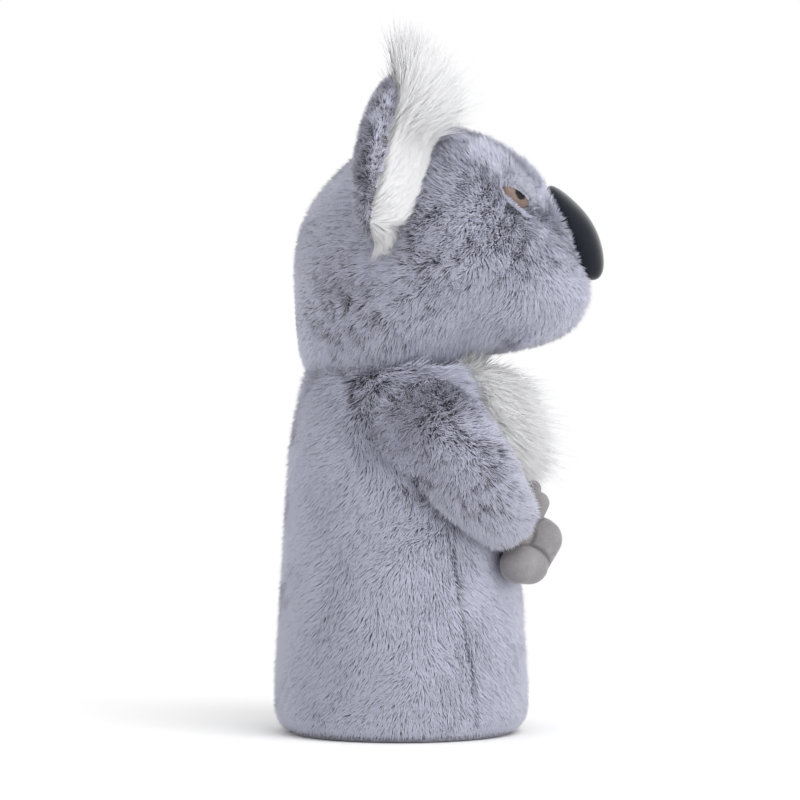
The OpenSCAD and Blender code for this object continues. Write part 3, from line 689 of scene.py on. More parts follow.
def nap_finish(name, colour, contrast, sheen, grain=1400.0, roughness=0.85, creased_and_shaded=False):
    """Short nap, as on velvet or suede: brushed patches of tone, a fine grain of fibres, a sheen, and painted shade
    in the creases where the piece keeps them."""
    made, tree, shader = finish_of(name, roughness, 0.2, Sheen_Weight=sheen, Sheen_Roughness=0.35)
    fine, broad = noise(tree, grain, 2.0, 0.7), noise(tree, 130.0, 4.0, 0.6)
    tone = weighted(tree, fine, 0.45, broad)
    dark, pale = [tuple(c * k for c in colour) for k in (1 - contrast, 1 + contrast)]
    # Painted shade: the tone drops towards the darkest colour where the piece keeps its creases
    if creased_and_shaded:
        tone = math_node(tree, "SUBTRACT", tone, math_node(tree, "MULTIPLY", kept_value(tree, "crease_shade"), 0.5))
    depth_and_shade = tuple(c * 0.45 for c in colour)
    tint(tree, shader, tone, (0.0, depth_and_shade), (0.3, dark), (0.7, pale))
    relief(tree, shader, tone, 0.35, 0.0003)
    return made


# ---- Settings a user changes ----------------------------------


def length_prop(name, text, default):
    """A length in metres."""
    return FloatProperty(name=name, description=text, default=default, min=0, unit="LENGTH")


def share_prop(name, text, default):
    """A share of something."""
    return FloatProperty(name=name, description=text, default=default, min=0, max=2, subtype="FACTOR")


def colour_prop(name, text, default):
    """A colour, in linear light."""
    return FloatVectorProperty(name=name, description=text, default=default, min=0, max=1, subtype="COLOR")


class HEADCOVER_PG_pile(PropertyGroup):
    """Sizes and colours of the grey and the white pile."""

    grey_length: length_prop("Grey length", "Length of a strand of the grey pile", 0.0062)
    grey_width: length_prop("Grey width", "Width of a strand of the grey pile at its root", 0.0006)
    grey_density: FloatProperty(name="Grey density", description="Strands on a square millimetre of cloth",
                                default=2.3, min=0.05, max=3)
    white_length: length_prop("White length", "Length of the white pile at the foot of the ears", 0.009)
    tuft_length: length_prop("Tuft length", "Length of the white pile at the top of the ears", 0.0278)
    bib_length: length_prop("Bib length", "Length of the bib's pile", 0.026)
    white_width: length_prop("White width", "Width of a strand of the white pile", 0.00042)
    tip: colour_prop("Grey tip", "Colour of the grey pile's tips", (0.655, 0.665, 0.80))
    middle: colour_prop("Grey middle", "Colour of the grey pile halfway up", (0.405, 0.405, 0.50))
    root: colour_prop("Grey root", "Colour of the grey pile's roots", (0.055, 0.048, 0.068))
    white: colour_prop("White", "Colour of the white pile", (0.985, 0.985, 0.985))


class HEADCOVER_PG_trim(PropertyGroup):
    """Sizes and colours of the nose, the eyes, the paws and the lining."""

    velvet: colour_prop("Nose velvet", "Colour of the nose", (0.008, 0.0095, 0.016))
    suede: colour_prop("Paw suede", "Colour of the paws", (0.232, 0.221, 0.232))
    iris: colour_prop("Iris", "Colour of the eyes", (0.155, 0.108, 0.09))
    pupil: share_prop("Pupil", "Share of the eye that its pupil takes", 0.32)
    lining: colour_prop("Lining", "Colour of the knitted lining", (0.10, 0.10, 0.12))
    facing: colour_prop("Hem facing", "Colour of the hem's turned-in facing", (0.33, 0.33, 0.39))


class HEADCOVER_PG_stage(PropertyGroup):
    """Camera, lamps and floor."""

    distance: length_prop("Distance", "Distance of the camera from the middle of the cover", 1.70)
    height: length_prop("Height", "Height of the camera over the floor", 0.1528)
    field: length_prop("Field", "Width that the camera sees at the middle of the cover", 0.3695)
    key: FloatProperty(name="Key", description="Power of the overhead lamp", default=9.2, subtype="POWER")
    front: FloatProperty(name="Front", description="Power of the lamp before the face", default=9.0, subtype="POWER")
    fill: FloatProperty(name="Fill", description="Strength of the light all round", default=0.92)
    floor: colour_prop("Floor", "Colour of the floor", (0.98, 0.98, 0.98))


# ---- Pieces ---------------------------------------------------


def grey_finish():
    """The grey pile's finish, made once."""
    coat = bpy.context.scene.headcover_pile
    return bpy.data.materials.get("grey_pile") or pile_finish("grey_pile", coat.root, coat.middle, coat.tip)


def backing_finish():
    """The finish of the cloth under the grey pile, made once."""
    return bpy.data.materials.get("backing") or cloth_finish("backing", (0.20, 0.195, 0.24))


def open_pile_and_shade(p):
    """How far the pile stands open and shows its dark roots, and how far it is painted darker as shade: bells at the
    places that handling ruffles, and at some where shade falls.
    """
    q = sided(p)
    # Some bells also paint shade: the back of the head, in front of the ears, the corners of the mouth and under the
    # arms are darkened where shade falls there.
    places = (
        ((60, -6, 156), (36, 34, 17), 1.2),      # top of the shoulders
        ((72, -39, 130), (26, 9, 9), 0.8),       # upper arms
        ((72, -40, 106), (26, 22, 16), 0.6),     # forearms
        ((60, 18, 186), (40, 30, 18), 0.75),     # behind the cheeks
        ((60, 34, 212), (40, 24, 28), 0.95),     # back of the head
        ((66, -10, 236), (30, 11, 26), 0.95),    # in front of the ears
        ((66, -16, 214), (30, 16, 18), 0.4),     # and below there, on the cheeks
        ((55, -36, 216), (30, 22, 12), 0.4),     # temples
        ((50, -70, 192), (30, 9, 8), 0.45),      # corners of the mouth
        ((45, -52, 246), (22, 12, 8), 0.4),      # round the eyes
        ((64, -5, 114), (20, 8, 7), 0.6),        # under the arms
        ((66, -6, 100), (24, 16, 26), 0.3),      # and down the sock's sides
    )
    total = sum(k * spot(q, np.array(c), np.array(r)) for c, r, k in places)
    return np.clip(total * (0.75 + 0.6 * waves(q, 7, 3)), 0, 1)


# The depth in this table also paints shade into the pile along a crease, and light where it is negative, on a ridge.
CREASES = (       # lines seen from the side, as y and z from point to point, with each one's width and depth
    (((31, 176), (25.5, 168.5), (21.5, 160), (20.5, 152)), 2.6, 0.6),      # fold from the nape to the shoulder
    (((36.5, 178), (31, 169.5), (26.5, 160), (25.5, 150)), 2.4, -0.9),     # and the ridge behind it
    (((-4, 118), (-6, 121.5), (-10, 121.5), (-15, 117)), 1.7, 0.8),        # pinch behind the arm
    (((-23, 86), (-26, 60), (-31, 34), (-33, 8)), 1.4, 0.9),               # side seam
)


def creased_and_shaded(p):
    """How deep points lie in a crease, or how high on a ridge where it is negative: a bell over the distance to its
    line, on the cover's sides. It shortens the pile in a crease and paints shade there, and paints light on a ridge."""
    q, depth_and_shade = np.stack([p[..., 1], p[..., 2]], -1), 0
    for line, width, depth in CREASES:
        a, b = np.array(line[:-1], float), np.array(line[1:], float)
        t = np.clip(((q[:, None] - a) * (b - a)).sum(-1) / ((b - a) ** 2).sum(-1), 0, 1)
        off = np.linalg.norm(q[:, None] - a - t[..., None] * (b - a), axis=-1).min(1)
        depth_and_shade = depth_and_shade + depth * np.exp(-(off / width) ** 2)
    return depth_and_shade * fade(np.abs(p[..., 0]), 22, 32)


def arm_gap(p):
    """How far points stand off the arm on their side: the distance from its middle line less its radius."""
    t = np.linspace(0, 1, 16)
    way, gap = arm_way(t), sided(p)[:, None] - arm_mid(t)
    up = unit(np.cross(way, (1, 0, 0)))
    parts = [(gap * axis).sum(-1) for axis in (way, up, np.cross(up, way) / ARM_FLAT)]
    return (np.sqrt(sum(part ** 2 for part in parts)) - mix(SHOULDER_R, WRIST_R, t)).min(1)


def sock_gap(p):
    """How far points stand off the sock, by their share of its reach at their height."""
    side, front, back = reaches(np.clip(p[..., 2], 0, BODY_H))
    long = np.where(p[..., 1] < 0, front, back)
    return (np.hypot(p[..., 0] / side, p[..., 1] / long) - 1) * np.minimum(side, long)


def groomed(p, normals, body):
    """What handling does to the pile in the hollow between an arm and the sock, round the neck, under the chin, at
    the hem, round the nose and in the creases: the strands' normals, their lean, the shares of their length, how
    upright they stand and how deep they lie, which also paints them: shade in the creases and on the arms in the
    hollow, light on the ridge and on the sock in the hollow, and a lighter tone at the hem. Each place fades in from
    one height or distance to another."""
    out = unit(p * (1, 1, 0) + (0, 0, 12.0))
    flat, back, up, trunk = out * (1, 1, 0), p[:, 1], p[:, 2], body == "trunk"
    on_head = (up > BODY_H).astype(float)
    off = arm_gap(p) if trunk else sock_gap(p)
    hollow = fade(off, 16, 0) * fade(up, 112, 128) * (1 - on_head)
    neck = fade(up - BODY_H, 22, 10) * on_head * fade(back, -44, -34)
    nape = spot(p, np.array((0, 46, 190)), np.array((60, 26, 24))) * on_head
    chin = fade(up - BODY_H, 34, 18) * on_head * fade(back, -36, -46)
    snout = fade(nose_zone(p), 1.6, 0.6) * on_head
    top = fade(up, 152, 164) * (1 - on_head) * trunk
    hem = fade(up, 24, 0) * trunk
    normals = unit(mix(normals, out * (1, 0.35, 1), 0.8 * hollow[:, None]))
    lean = hollow[:, None] * (flat * 0.8 + (0, -0.5 if trunk else 0.9, -0.3))
    lean = lean + neck[:, None] * (flat * 0.25 * (1 - nape[:, None]) + (0, 0, -1.6))
    lean = lean + top[:, None] * (out + (0, 0, 0.5)) - hem[:, None] * flat * 0.45
    scale = (1 + 1.1 * hollow + 0.7 * neck * (1 - nape) + 0.1 * top) * (1 - 0.15 * chin) * (1 - 0.5 * hem)
    # Painted shade in the creases and on the arms in the hollow, painted light on the ridge and on the sock in the
    # hollow, and a lighter tone at the hem
    depth_and_shade = creased_and_shaded(p) - 0.5 * fade(up, 9, 0) + hollow * (-0.2 if trunk else 0.2)
    scale = scale * (1 - 0.35 * snout) * (1 - 0.7 * nape) * (1 - 0.5 * np.maximum(depth_and_shade, 0))
    return normals, lean, scale, 0.2 * top + 0.35 * hollow + 0.7 * snout, depth_and_shade


def grey_pile(name, surface, count, flow, body, rng, left=True, keep=None, scale=1.0, dark=0.0, seed=1):
    """Grey pile on a surface: combed along a flow, ruffled by slow and quick noise, more upright where it is open."""
    coat = bpy.context.scene.headcover_pile
    roots, normals, u, v = scatter(surface, count, rng)
    roots, normals = mirrored(roots, left), mirrored(normals, left)
    if keep is not None:
        kept = keep(roots, u, v)
        roots, normals = roots[kept], normals[kept]
    opened_and_shaded = np.clip(open_pile_and_shade(roots) + dark, 0, 1)
    normals, lean, reach, upright, depth_and_shade = groomed(roots, normals, body)
    way = flow(roots) + 0.5 * waves3(roots, SLOW_RUFFLE, seed)
    way = way + (0.3 + 0.4 * opened_and_shaded[:, None]) * waves3(roots, QUICK_RUFFLE, seed + 7)
    lie = combed(way + 2 * lean, normals)
    rise = 0.3 + 0.6 * opened_and_shaded + 0.14 * waves(roots, 12, seed + 3) + upright
    tufted = scrambled(np.floor((roots + 1.5 * waves3(roots, 9, seed + 5)) / TUFT), 3) - 0.5
    # The shade shows dark roots where the pile stands open; it also paints shade in the creases, on the arms in the
    # hollow and at the shaded places among the open ones, painted light on the ridge and on the sock in the hollow,
    # and a lighter tone at the hem.
    shade = (0.42 * opened_and_shaded - 0.36 + 0.07 * waves(roots, 16, seed + 4) + 0.45 * depth_and_shade
             + (0.06 + 0.6 * opened_and_shaded) * tufted + rng.normal(scale=0.05 + 0.28 * opened_and_shaded, size=len(roots)))
    return pile(name, roots, normals, lie, coat.grey_length / MM * scale * reach, coat.grey_width / MM, rise, shade,
                body, grey_finish(), "grey_fur", fray=0.16 + 0.2 * opened_and_shaded[:, None], seed=seed)


def down_flow(p):
    """The sock's pile lies down and a little to the back."""
    return np.stack([0 * p[..., 0], 0.28 + 0 * p[..., 0], -1 + 0 * p[..., 0]], -1)


def head_flow(p):
    """The head's pile lies away from the nose, and down the cheeks; round the nose's edge it stands up."""
    away = unit(p - nose(0.0, 0.0, 0.0))
    return (away + np.array((0, 0, -0.35))) * mix(1, 0.25, fade(nose_zone(p), 1.5, 1.0))[..., None]


def strands(patch):
    """How many strands a patch of grey pile has: its area times their density."""
    return int(AREAS[patch] * bpy.context.scene.headcover_pile.grey_density)


class HEADCOVER_OT_sock(Operator):
    """Make the sock's two fur panels"""

    bl_idname = "headcover.sock"
    bl_label = "Sock"

    def execute(self, context):
        backing, rng = backing_finish(), np.random.default_rng(11)
        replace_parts(cloth_patch("body_back_cloth", back_cloth, 60, 110, "trunk", backing), "body_back_panel")
        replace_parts(cloth_patch("body_front_cloth", front_cloth, 50, 60, "trunk", backing), "body_front_panel")
        for side, low in (("right", 0.0), ("left", 0.5)):
            grey_pile(f"body_back_fur_{side}", lambda u, v: back_cloth(mix(low, low + 0.5, u), v),
                      strands("back half"), down_flow, "trunk", rng, seed=20)
        grey_pile("body_front_fur", front_cloth, strands("front"), down_flow, "trunk", rng, seed=20)
        return {"FINISHED"}


class HEADCOVER_OT_lining(Operator):
    """Make the knitted lining and the hem's facing"""

    bl_idname = "headcover.lining"
    bl_label = "Lining"

    def execute(self, context):
        trim = context.scene.headcover_trim
        knit, facing = cloth_finish("lining_knit", trim.lining), cloth_finish("facing_knit", trim.facing)
        a = np.linspace(0, 360, 96, endpoint=False)

        def ring(z, depth):
            return sock(a, np.full(len(a), float(z)), depth)

        def folded(z, depth):
            return ring(z, depth + 0.25 * waves(ring(z, 0), 26, 5))

        # Straight up from the facing, then three rings that draw in over the top of the pocket
        heights = np.linspace(HEM_H + SEAM_GAP, BODY_H - 4, 40)
        closing = [(BODY_H - 4 + 3 * sind(t), 5.6 + 34 * (1 - cosd(t))) for t in (25, 50, 75)]
        outer, inner = [[folded(z, LINING_DEPTH + d) for z in heights] + [
            ring(z - d, depth + 0.4 + d) for z, depth in closing] for d in (0, LINING_T)]
        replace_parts(bowl("lining_cloth", np.array(outer), np.array(inner), "trunk", knit), "lining_sock")
        heights = np.linspace(0.4, HEM_H, 16)
        outer, inner = [np.array([ring(z, HEM_DEPTH + d - BODY_TAPER * z) for z in heights])
                        for d in (0, FACING_T)]
        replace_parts(bowl("hem_facing_cloth", outer, inner, "trunk", facing, pole=False), "hem_facing")
        return {"FINISHED"}


def nose_zone(p):
    """Distance from the nose pad's middle, in shares of its half length and width, and far away behind the face."""
    q = (p - nose(0.0, 0.0, 0.0)) @ np.array([(1, 0, 0), (0, cosd(NOSE_RISE), -sind(NOSE_RISE)),
                                                (0, sind(NOSE_RISE), cosd(NOSE_RISE))]).T
    return np.hypot(q[..., 0] / (NOSE_W / 2), q[..., 2] / (NOSE_L / 2)) + 9 * (q[..., 1] > 30)


def eye_zone(p):
    """Distance from the nearer eye's middle, in its radii."""
    return np.linalg.norm(sided(p) - eye_frame()[0], axis=-1) / EYE_R


def eye_slit():
    """Directions along the left eye's slit, which runs down and forward as seen from the side, and across it."""
    out = eye_frame()[3]
    slit = np.array([-(0.79 * out[1] + 0.61 * out[2]) / out[0], 0.79, 0.61])
    brow = unit(np.cross(out, slit))
    return unit(slit), brow * np.sign(brow[2])


class HEADCOVER_OT_head(Operator):
    """Make the stuffed head and its grey pile"""

    bl_idname = "headcover.head"
    bl_label = "Head"

    def execute(self, context):
        rings = grid(stretch(head_cloth, 0.02, 0.98), 70, 128, turns=True)
        cloth = closed_form("head_cloth", rings, "trunk", backing_finish())
        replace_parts(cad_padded(cloth), "head_left_panel", "head_right_panel", "head_gusset", "chin_panel",
                    "head_filling")
        rng = np.random.default_rng(41)

        def keep(p, u, v):
            """Clear of the neck's hidden middle, the nose pad and the eyes."""
            hidden = (neck_share(p) < 0.86) & (p[:, 2] < BODY_H + 8)
            return ~hidden & (nose_zone(p) > 0.97) & (eye_zone(p) > 1.0)

        parts = (("left", 0.0, 0.36, "cheek"), ("middle", 0.36, 0.64, "crown"), ("right", 0.64, 1.0, "cheek"))
        for side, low, high, patch in parts:
            grey_pile(f"head_fur_{side}", stretch(head_cloth, low, high), strands(patch), head_flow, "trunk", rng,
                      keep=keep, seed=50)
        return {"FINISHED"}


class HEADCOVER_OT_face(Operator):
    """Make the velvet nose and the eyes"""

    bl_idname = "headcover.face"
    bl_label = "Nose and eyes"

    def execute(self, context):
        trim = context.scene.headcover_trim
        al = np.linspace(0, 360, 64, endpoint=False)

        def ring(rho, h):
            return nose(np.full(len(al), rho), al, h)

        # The foot, sunk into the head, and the pad over it from its rim to its middle
        under = [ring(rho, -3.8) for rho in np.linspace(0.1, 0.95, 5)] + [ring(1.0, h) for h in (-3.0, -1.5)]
        over = [ring(rho, SEAM_GAP + nose_height(rho, al)) for rho in sind(np.linspace(88, 4, 26))]
        velvet = nap_finish("nose_velvet", trim.velvet, 0.35, 0.8)
        pad = closed_form("nose_velvet", np.array(under + over), "trunk", velvet)
        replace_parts(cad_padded(pad), "nose_cover", "nose_filling")
        for side in ("left", "right"):
            self.eye(side, trim)
            self.lids(side)
        return {"FINISHED"}

    def lids(self, side):
        """Short pile that lies over the eye from both sides of its slit, on the eye's own dome."""
        rng, count, left = np.random.default_rng(45), LID_STRANDS, side == "left"
        (p, _, _, out), (slit, brow) = eye_frame(), eye_slit()
        below = rng.random(count) < LOW_LID
        over = np.where(below, -rng.uniform(*LOW_LID_BAND, count), rng.uniform(*LID_BAND, count))
        along = rng.uniform(-1.2, 1.2, count)
        rho = np.hypot(over, along)
        near = rho < np.where(over > 0, LID_REACH, LOW_LID_REACH)
        over, along, rho = over[near], along[near], rho[near]
        rise = EYE_DOME * np.sqrt(np.maximum(0, 1 - rho ** 2)) + 0.4 * fade(rho, 1, 1.2)
        flat = over[:, None] * brow + along[:, None] * slit
        roots = p + EYE_R * flat + out * (rise - EYE_SINK + 0.35)[:, None]
        dome = unit(out + 0.55 * flat / np.sqrt(np.maximum(0.2, 1 - rho ** 2))[:, None])
        lie = combed(-np.sign(over)[:, None] * brow * 1.1 - 0.3 * slit, dome)
        edge = fade(rho, 0.85, 1.25)
        normals = unit(mix(0.7, 1.3, edge)[:, None] * dome + np.where(over > -0.5, 0.7, -0.2)[:, None] * lie)
        lengths = np.where(over > -0.5, mix(*LID_LENGTHS, edge), LOW_LID_LENGTH)
        rise = 0.15 + 0.3 * rng.random(len(over)) + 0.5 * edge
        # Painted light and shade: the lids' pile is lighter than the head's, against the shade it lies in, and its
        # lowest strands darker, against the light they catch.
        shade = rng.normal(-0.5, 0.18, len(over)) + 0.55 * (over < -0.9)
        pile(f"eye_{side}_lids", mirrored(roots, left), mirrored(normals, left), mirrored(lie, left), lengths,
             bpy.context.scene.headcover_pile.grey_width / MM, rise, shade, "trunk", grey_finish(), "grey_fur",
             clump=1.6, fray=0.25, seed=46)

    def eye(self, side, trim):
        """A bead on its stem: rings round the way out of the head, with a dome over them. Each point keeps its
        distance from the pupil's middle, in radii of the bead."""
        (p, across, up, out), left = eye_frame(), side == "left"
        a = np.linspace(0, 360, 48, endpoint=False)[:, None]

        def ring(radius, h):
            return p + (across * cosd(a) + up * sind(a)) * radius + out * (h - EYE_SINK)

        turn = np.radians(np.linspace(0, 86, 14))
        rings = [ring(STEM_R, -STEM_H), ring(STEM_R, -0.5), ring(EYE_R * 0.8, -0.4), ring(EYE_R, 0.0)]
        rings += [ring(EYE_R * np.cos(t), 0.1 + EYE_DOME * np.sin(t)) for t in turn[1:]]
        obj = closed_form(f"eye_{side}_bead", mirrored(np.array(rings), left), "trunk", eye_finish(trim))
        off = mirrored(coordinates(obj) / MM, left) - p + 0.4 * EYE_R * eye_slit()[1]
        keep_values(obj, "spread", np.linalg.norm(off - out * dot(off, out), axis=1) / EYE_R)
        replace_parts(obj, f"eye_{side}")


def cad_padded(obj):
    """Hands a form on as it is."""
    return obj


def eye_finish(trim):
    """A glossy bead: a dark pupil, an iris with radial flecks, and a dark rim, by the share of the eye's radius."""
    made, tree, shader = finish_of("eye_glass", 0.3, 0.15, Coat_Weight=0.25, Coat_Roughness=0.06)
    flecks = math_node(tree, "MULTIPLY", noise(tree, 700.0, 3.0), 0.12)
    tone = math_node(tree, "ADD", kept_value(tree, "spread"), math_node(tree, "SUBTRACT", flecks, 0.06))
    iris, black = tuple(trim.iris), (0.006, 0.005, 0.005)
    pale = tuple(min(1, c * 1.35) for c in iris)
    tint(tree, shader, tone, (trim.pupil, black), (trim.pupil + 0.05, iris), (0.75, pale), (1.0, iris))
    return made


def white_finish():
    """White pile, a little greyer at its roots."""
    coat = bpy.context.scene.headcover_pile
    white = tuple(coat.white)
    return bpy.data.materials.get("white_pile") or pile_finish(
        "white_pile", tuple(c * 0.93 for c in white), tuple(c * 0.98 for c in white), white, 0.05)


def white_pile(name, left, rng, kept, roots, normals, lie, lengths, rise, stray, **settings):
    """White pile from the kept strands: on the side they are on, or mirrored, and a little uneven in tone."""
    width = bpy.context.scene.headcover_pile.white_width / MM
    roots, normals, lie, stray = [mirrored(values[kept], left) for values in (roots, normals, lie, stray)]
    return pile(name, roots, normals, lie, lengths[kept], width, rise[kept], rng.normal(scale=0.06, size=kept.sum()),
                "trunk", white_finish(), "white_pile", WHITE_STOPS, WHITE_WIDTHS, bend=stray, **settings)


def ear_flow(p):
    """The grey pile of an ear lies out from its middle, and a little up."""
    way = (sided(p) - EAR_PLACE) * (1, 0, 1) / 40 + (0, 0, 0.5)
    return way * (np.sign(p[..., :1]) * (1, 0, 0) + (0, 1, 1))


def on_rim(u, v):
    """Whether an ear's front is grey there: close to its rim, except at its foot and at its top."""
    height = sind(90 * v) * sind(360 * u)
    return cosd(90 * v) < RIM_W * fade(height, -1, 0) * fade(height, 0.92, 0.62)


class HEADCOVER_OT_ears(Operator):
    """Make the cupped ears, grey behind and white in front, with their tufts"""

    bl_idname = "headcover.ears"
    bl_label = "Ears"

    def execute(self, context):
        for left in (True, False):
            self.ear(left, "left" if left else "right", context.scene.headcover_pile)
        return {"FINISHED"}

    def ear(self, left, side, coat):
        """One ear: its two cloths, closed into a cup, the grey pile behind and round the rim, and the white in front,
        short and lying down at the foot, and long and fanned out at the top."""
        rng, m, n = np.random.default_rng(60), 18, 64
        back = grid(stretch(ear_back_cloth, 0.05, 1), m, n, turns=True)
        front = grid(lambda u, v: ear_front_cloth(-u, mix(1, 0.05, v)), m, n, turns=True)
        cloth = closed_form(f"ear_{side}_cloth", mirrored(np.concatenate([back, front]), left), "trunk",
                            backing_finish())
        cloth.data.materials.append(white_finish())
        in_front = np.concatenate([np.arange((2 * m - 1) * n) >= (m - 1) * n, np.zeros(n, bool), np.ones(n, bool)])
        cloth.data.polygons.foreach_set("material_index", in_front.astype(np.int32))
        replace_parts(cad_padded(cloth), *[f"ear_{side}_{part}" for part in ("back", "front", "filling")])

        grey_pile(f"ear_{side}_fur", ear_back_cloth, strands("ear"), ear_flow, "trunk", rng, left,
                  lambda p, u, v: ~in_head(p, -EAR_SUNK), scale=0.66, dark=0.85, seed=61)
        grey_pile(f"ear_{side}_rim_fur", stretch(ear_front_cloth, RIM_START, 1), strands("ear rim"), ear_flow,
                  "trunk", rng, left, lambda p, u, v: ~in_head(p, -EAR_SUNK) & on_rim(u, mix(RIM_START, 1, v)),
                  scale=0.6, dark=0.85, seed=62)
        roots, normals, u, v = scatter(ear_front_cloth, WHITE_STRANDS, rng)
        al = 360 * u
        height = sind(90 * v) * sind(al)      # from -1 at the ear's foot to 1 at its top
        top = fade(height, -0.05, 0.4)
        lengths = mix(coat.white_length, mix(1.05, 0.84, fade(height, 0.4, 0.9)) * coat.tuft_length, top) / MM
        turn = mix(*WHITE_TURN, fade(height, -0.05, 0.9)) + rng.normal(scale=12, size=len(al))
        fan = np.stack([0.45 * cosd(al) + rng.normal(scale=0.14, size=len(al)), -sind(turn), cosd(turn)], -1)
        hang = mix(-0.8, 1, fade(height, -0.95, -0.55))
        flat = combed(np.stack([0.2 * cosd(al), -0.2 + 0 * al, hang], -1) + 0.08 * waves3(roots, 14, 71), normals)
        lie = unit(mix(flat, fan, top[:, None]))
        rise = 0.5 - 0.5 * top
        stray = rng.normal(scale=0.1, size=(len(roots), 3)) * top[:, None]
        kept = ~in_head(roots, -EAR_SUNK) & ~on_rim(u, v)
        normals = unit(normals + mix(0.35, 1.5, top)[:, None] * lie)
        white_pile(f"ear_{side}_white", left, rng, kept, roots, normals, lie, lengths, rise, stray, clump=4.0,
                   pull=(0.03 + 0.12 * top)[kept, None], fray=(0.06 + 0.08 * top)[kept, None], seed=72, rounded=0.25)


class HEADCOVER_OT_bib(Operator):
    """Make the white bib of long pile"""

    bl_idname = "headcover.bib"
    bl_label = "Bib"

    def execute(self, context):
        coat, rng = context.scene.headcover_pile, np.random.default_rng(80)
        cloth = cloth_patch("chest_bib_cloth", bib_cloth, 30, 40, "trunk", white_finish())
        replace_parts(cloth, "chest_bib")
        roots, normals, u, v = scatter(bib_cloth, WHITE_STRANDS, rng)
        s, high = 2 * u - 1, fade(v, BIB_TOP, 1)
        way = np.stack([0.5 * s ** 3, 0 * s, -1 + 1.6 * high], -1) + 0.3 * waves3(roots, 16, 81)
        lie = combed(way, normals)
        lengths = coat.bib_length / MM * (0.62 + 0.38 * (1 - s ** 4))
        lengths = lengths * mix(0.42, 1, fade(v, 0, 0.45)) * mix(1, 0.5, high)
        rise = 0.45 + 0.5 * rng.random(len(roots))
        stray = rng.normal(scale=0.12, size=(len(roots), 3)) + (0, -0.03, 0)
        clear = np.ones(len(roots), bool)
        for along in (0.4, 0.6, 0.8, 1.0):
            reach = sided(roots + along * lie * lengths[:, None] + 3 * along * normals)
            for finger in FINGERS:
                clear &= off_finger(reach, *finger) > FINGER_GAP
        white_pile("chest_bib_white", True, rng, clear, roots, normals, lie, lengths, rise, stray, clump=5.0,
                   pull=0.22, fray=0.18, seed=82, rounded=0.2)
        return {"FINISHED"}


def arm_flow(p):
    """The arms' pile lies along their middle lines, and a little down."""
    long = np.subtract(WRIST, SHOULDER)
    t = np.clip((sided(p) - SHOULDER) @ long / np.linalg.norm(long) ** 2, 0, 1)
    return arm_way(t) * (np.sign(p[..., :1]) * (1, 0, 0) + (0, 1, 1)) + (0, 0, -0.55)


class HEADCOVER_OT_arms(Operator):
    """Make the stuffed arms and their grey pile"""

    bl_idname = "headcover.arms"
    bl_label = "Arms"

    def execute(self, context):
        for left, side in ((True, "left"), (False, "right")):
            rng = np.random.default_rng(90)
            rings = mirrored(grid(stretch(arm_cloth, 0.01, 1), 48, 48, turns=True), left)
            cloth = closed_form(f"arm_{side}_cloth", rings, f"arm_{side}", backing_finish())
            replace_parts(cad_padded(cloth), f"arm_{side}_sleeve", f"arm_{side}_filling")
            grey_pile(f"arm_{side}_fur", arm_cloth, strands("arm"), arm_flow, f"arm_{side}", rng, left, dark=0.4,
                      seed=91)
        return {"FINISHED"}


class HEADCOVER_OT_paws(Operator):
    """Make the suede paws: a palm, curled fingers and two thumbs, blended into one form"""

    bl_idname = "headcover.paws"
    bl_label = "Paws"

    def execute(self, context):
        suede = nap_finish("paw_suede", context.scene.headcover_trim.suede, 0.26, 0.35, 1600.0, 0.9, True)
        for left, side in ((True, "left"), (False, "right")):
            ends = [[mirrored(np.array(end, float), left) for end in finger[:2]] for finger in FINGERS]
            lobes = [self.finger(f"lobe_{k}", p, q, finger[2], f"arm_{side}", suede)
                     for k, ((p, q), finger) in enumerate(zip(ends, FINGERS))]
            joined = join_lobes(lobes, f"paw_{side}_suede", PAW_VOXEL)
            self.mark_crease_shade(joined, left)
            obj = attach(joined, f"arm_{side}")
            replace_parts(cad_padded(obj), f"paw_{side}_cover", f"paw_{side}_filling")
        return {"FINISHED"}

    def mark_crease_shade(self, obj, left):
        """Keeps, at each point, how close it lies to where two fingers meet: where their distances are equal; the
        finish paints shade there.
        """
        points = mirrored(coordinates(obj) / MM, left)
        gaps = np.sort([off_finger(points, *finger) for finger in FINGERS], axis=0)
        keep_values(obj, "crease_shade", fade(gaps[1] - gaps[0], CREASE_W, 0))

    def finger(self, name, p, q, r, body, material):
        """A capsule from p to q: rings across the line between them, drawn in to round ends."""
        way = unit(q - p)
        up = unit(np.cross(way, (0.2, 0.3, 1)))
        side, a = np.cross(way, up), np.linspace(0, 360, 24, endpoint=False)[:, None]
        turns = np.linspace(-84, 84, 13)
        rings = [(p if t < 0 else q) + way * r * sind(t) + (up * cosd(a) + side * sind(a)) * r * cosd(t)
                 for t in turns]
        return closed_form(name, np.array(rings), body, material)


def join_lobes(lobes, name, voxel):
    """One skin over several closed forms: they are joined, remeshed by voxels and smoothed."""
    mesh = bpy.data.meshes.new(name)
    faces, start = [], 0
    for lobed in lobes:
        faces += [[start + v for v in f.vertices] for f in lobed.data.polygons]
        start += len(lobed.data.vertices)
    material = lobes[0].data.materials[0]
    mesh.from_pydata(np.concatenate([coordinates(lobed) for lobed in lobes]).tolist(), [], faces)
    for lobed in lobes:
        bpy.data.objects.remove(lobed)
    obj = placed(name, mesh)
    remesh = obj.modifiers.new("skin", "REMESH")
    remesh.mode, remesh.voxel_size = "VOXEL", voxel
    relax = obj.modifiers.new("relax", "SMOOTH")
    relax.factor, relax.iterations = 0.5, 8
    made = bpy.data.meshes.new_from_object(obj.evaluated_get(bpy.context.evaluated_depsgraph_get()))
    obj.modifiers.clear()
    obj.data = made
    made.materials.clear()
    made.materials.append(material)
    made.polygons.foreach_set("use_smooth", np.ones(len(made.polygons), bool))
    return obj


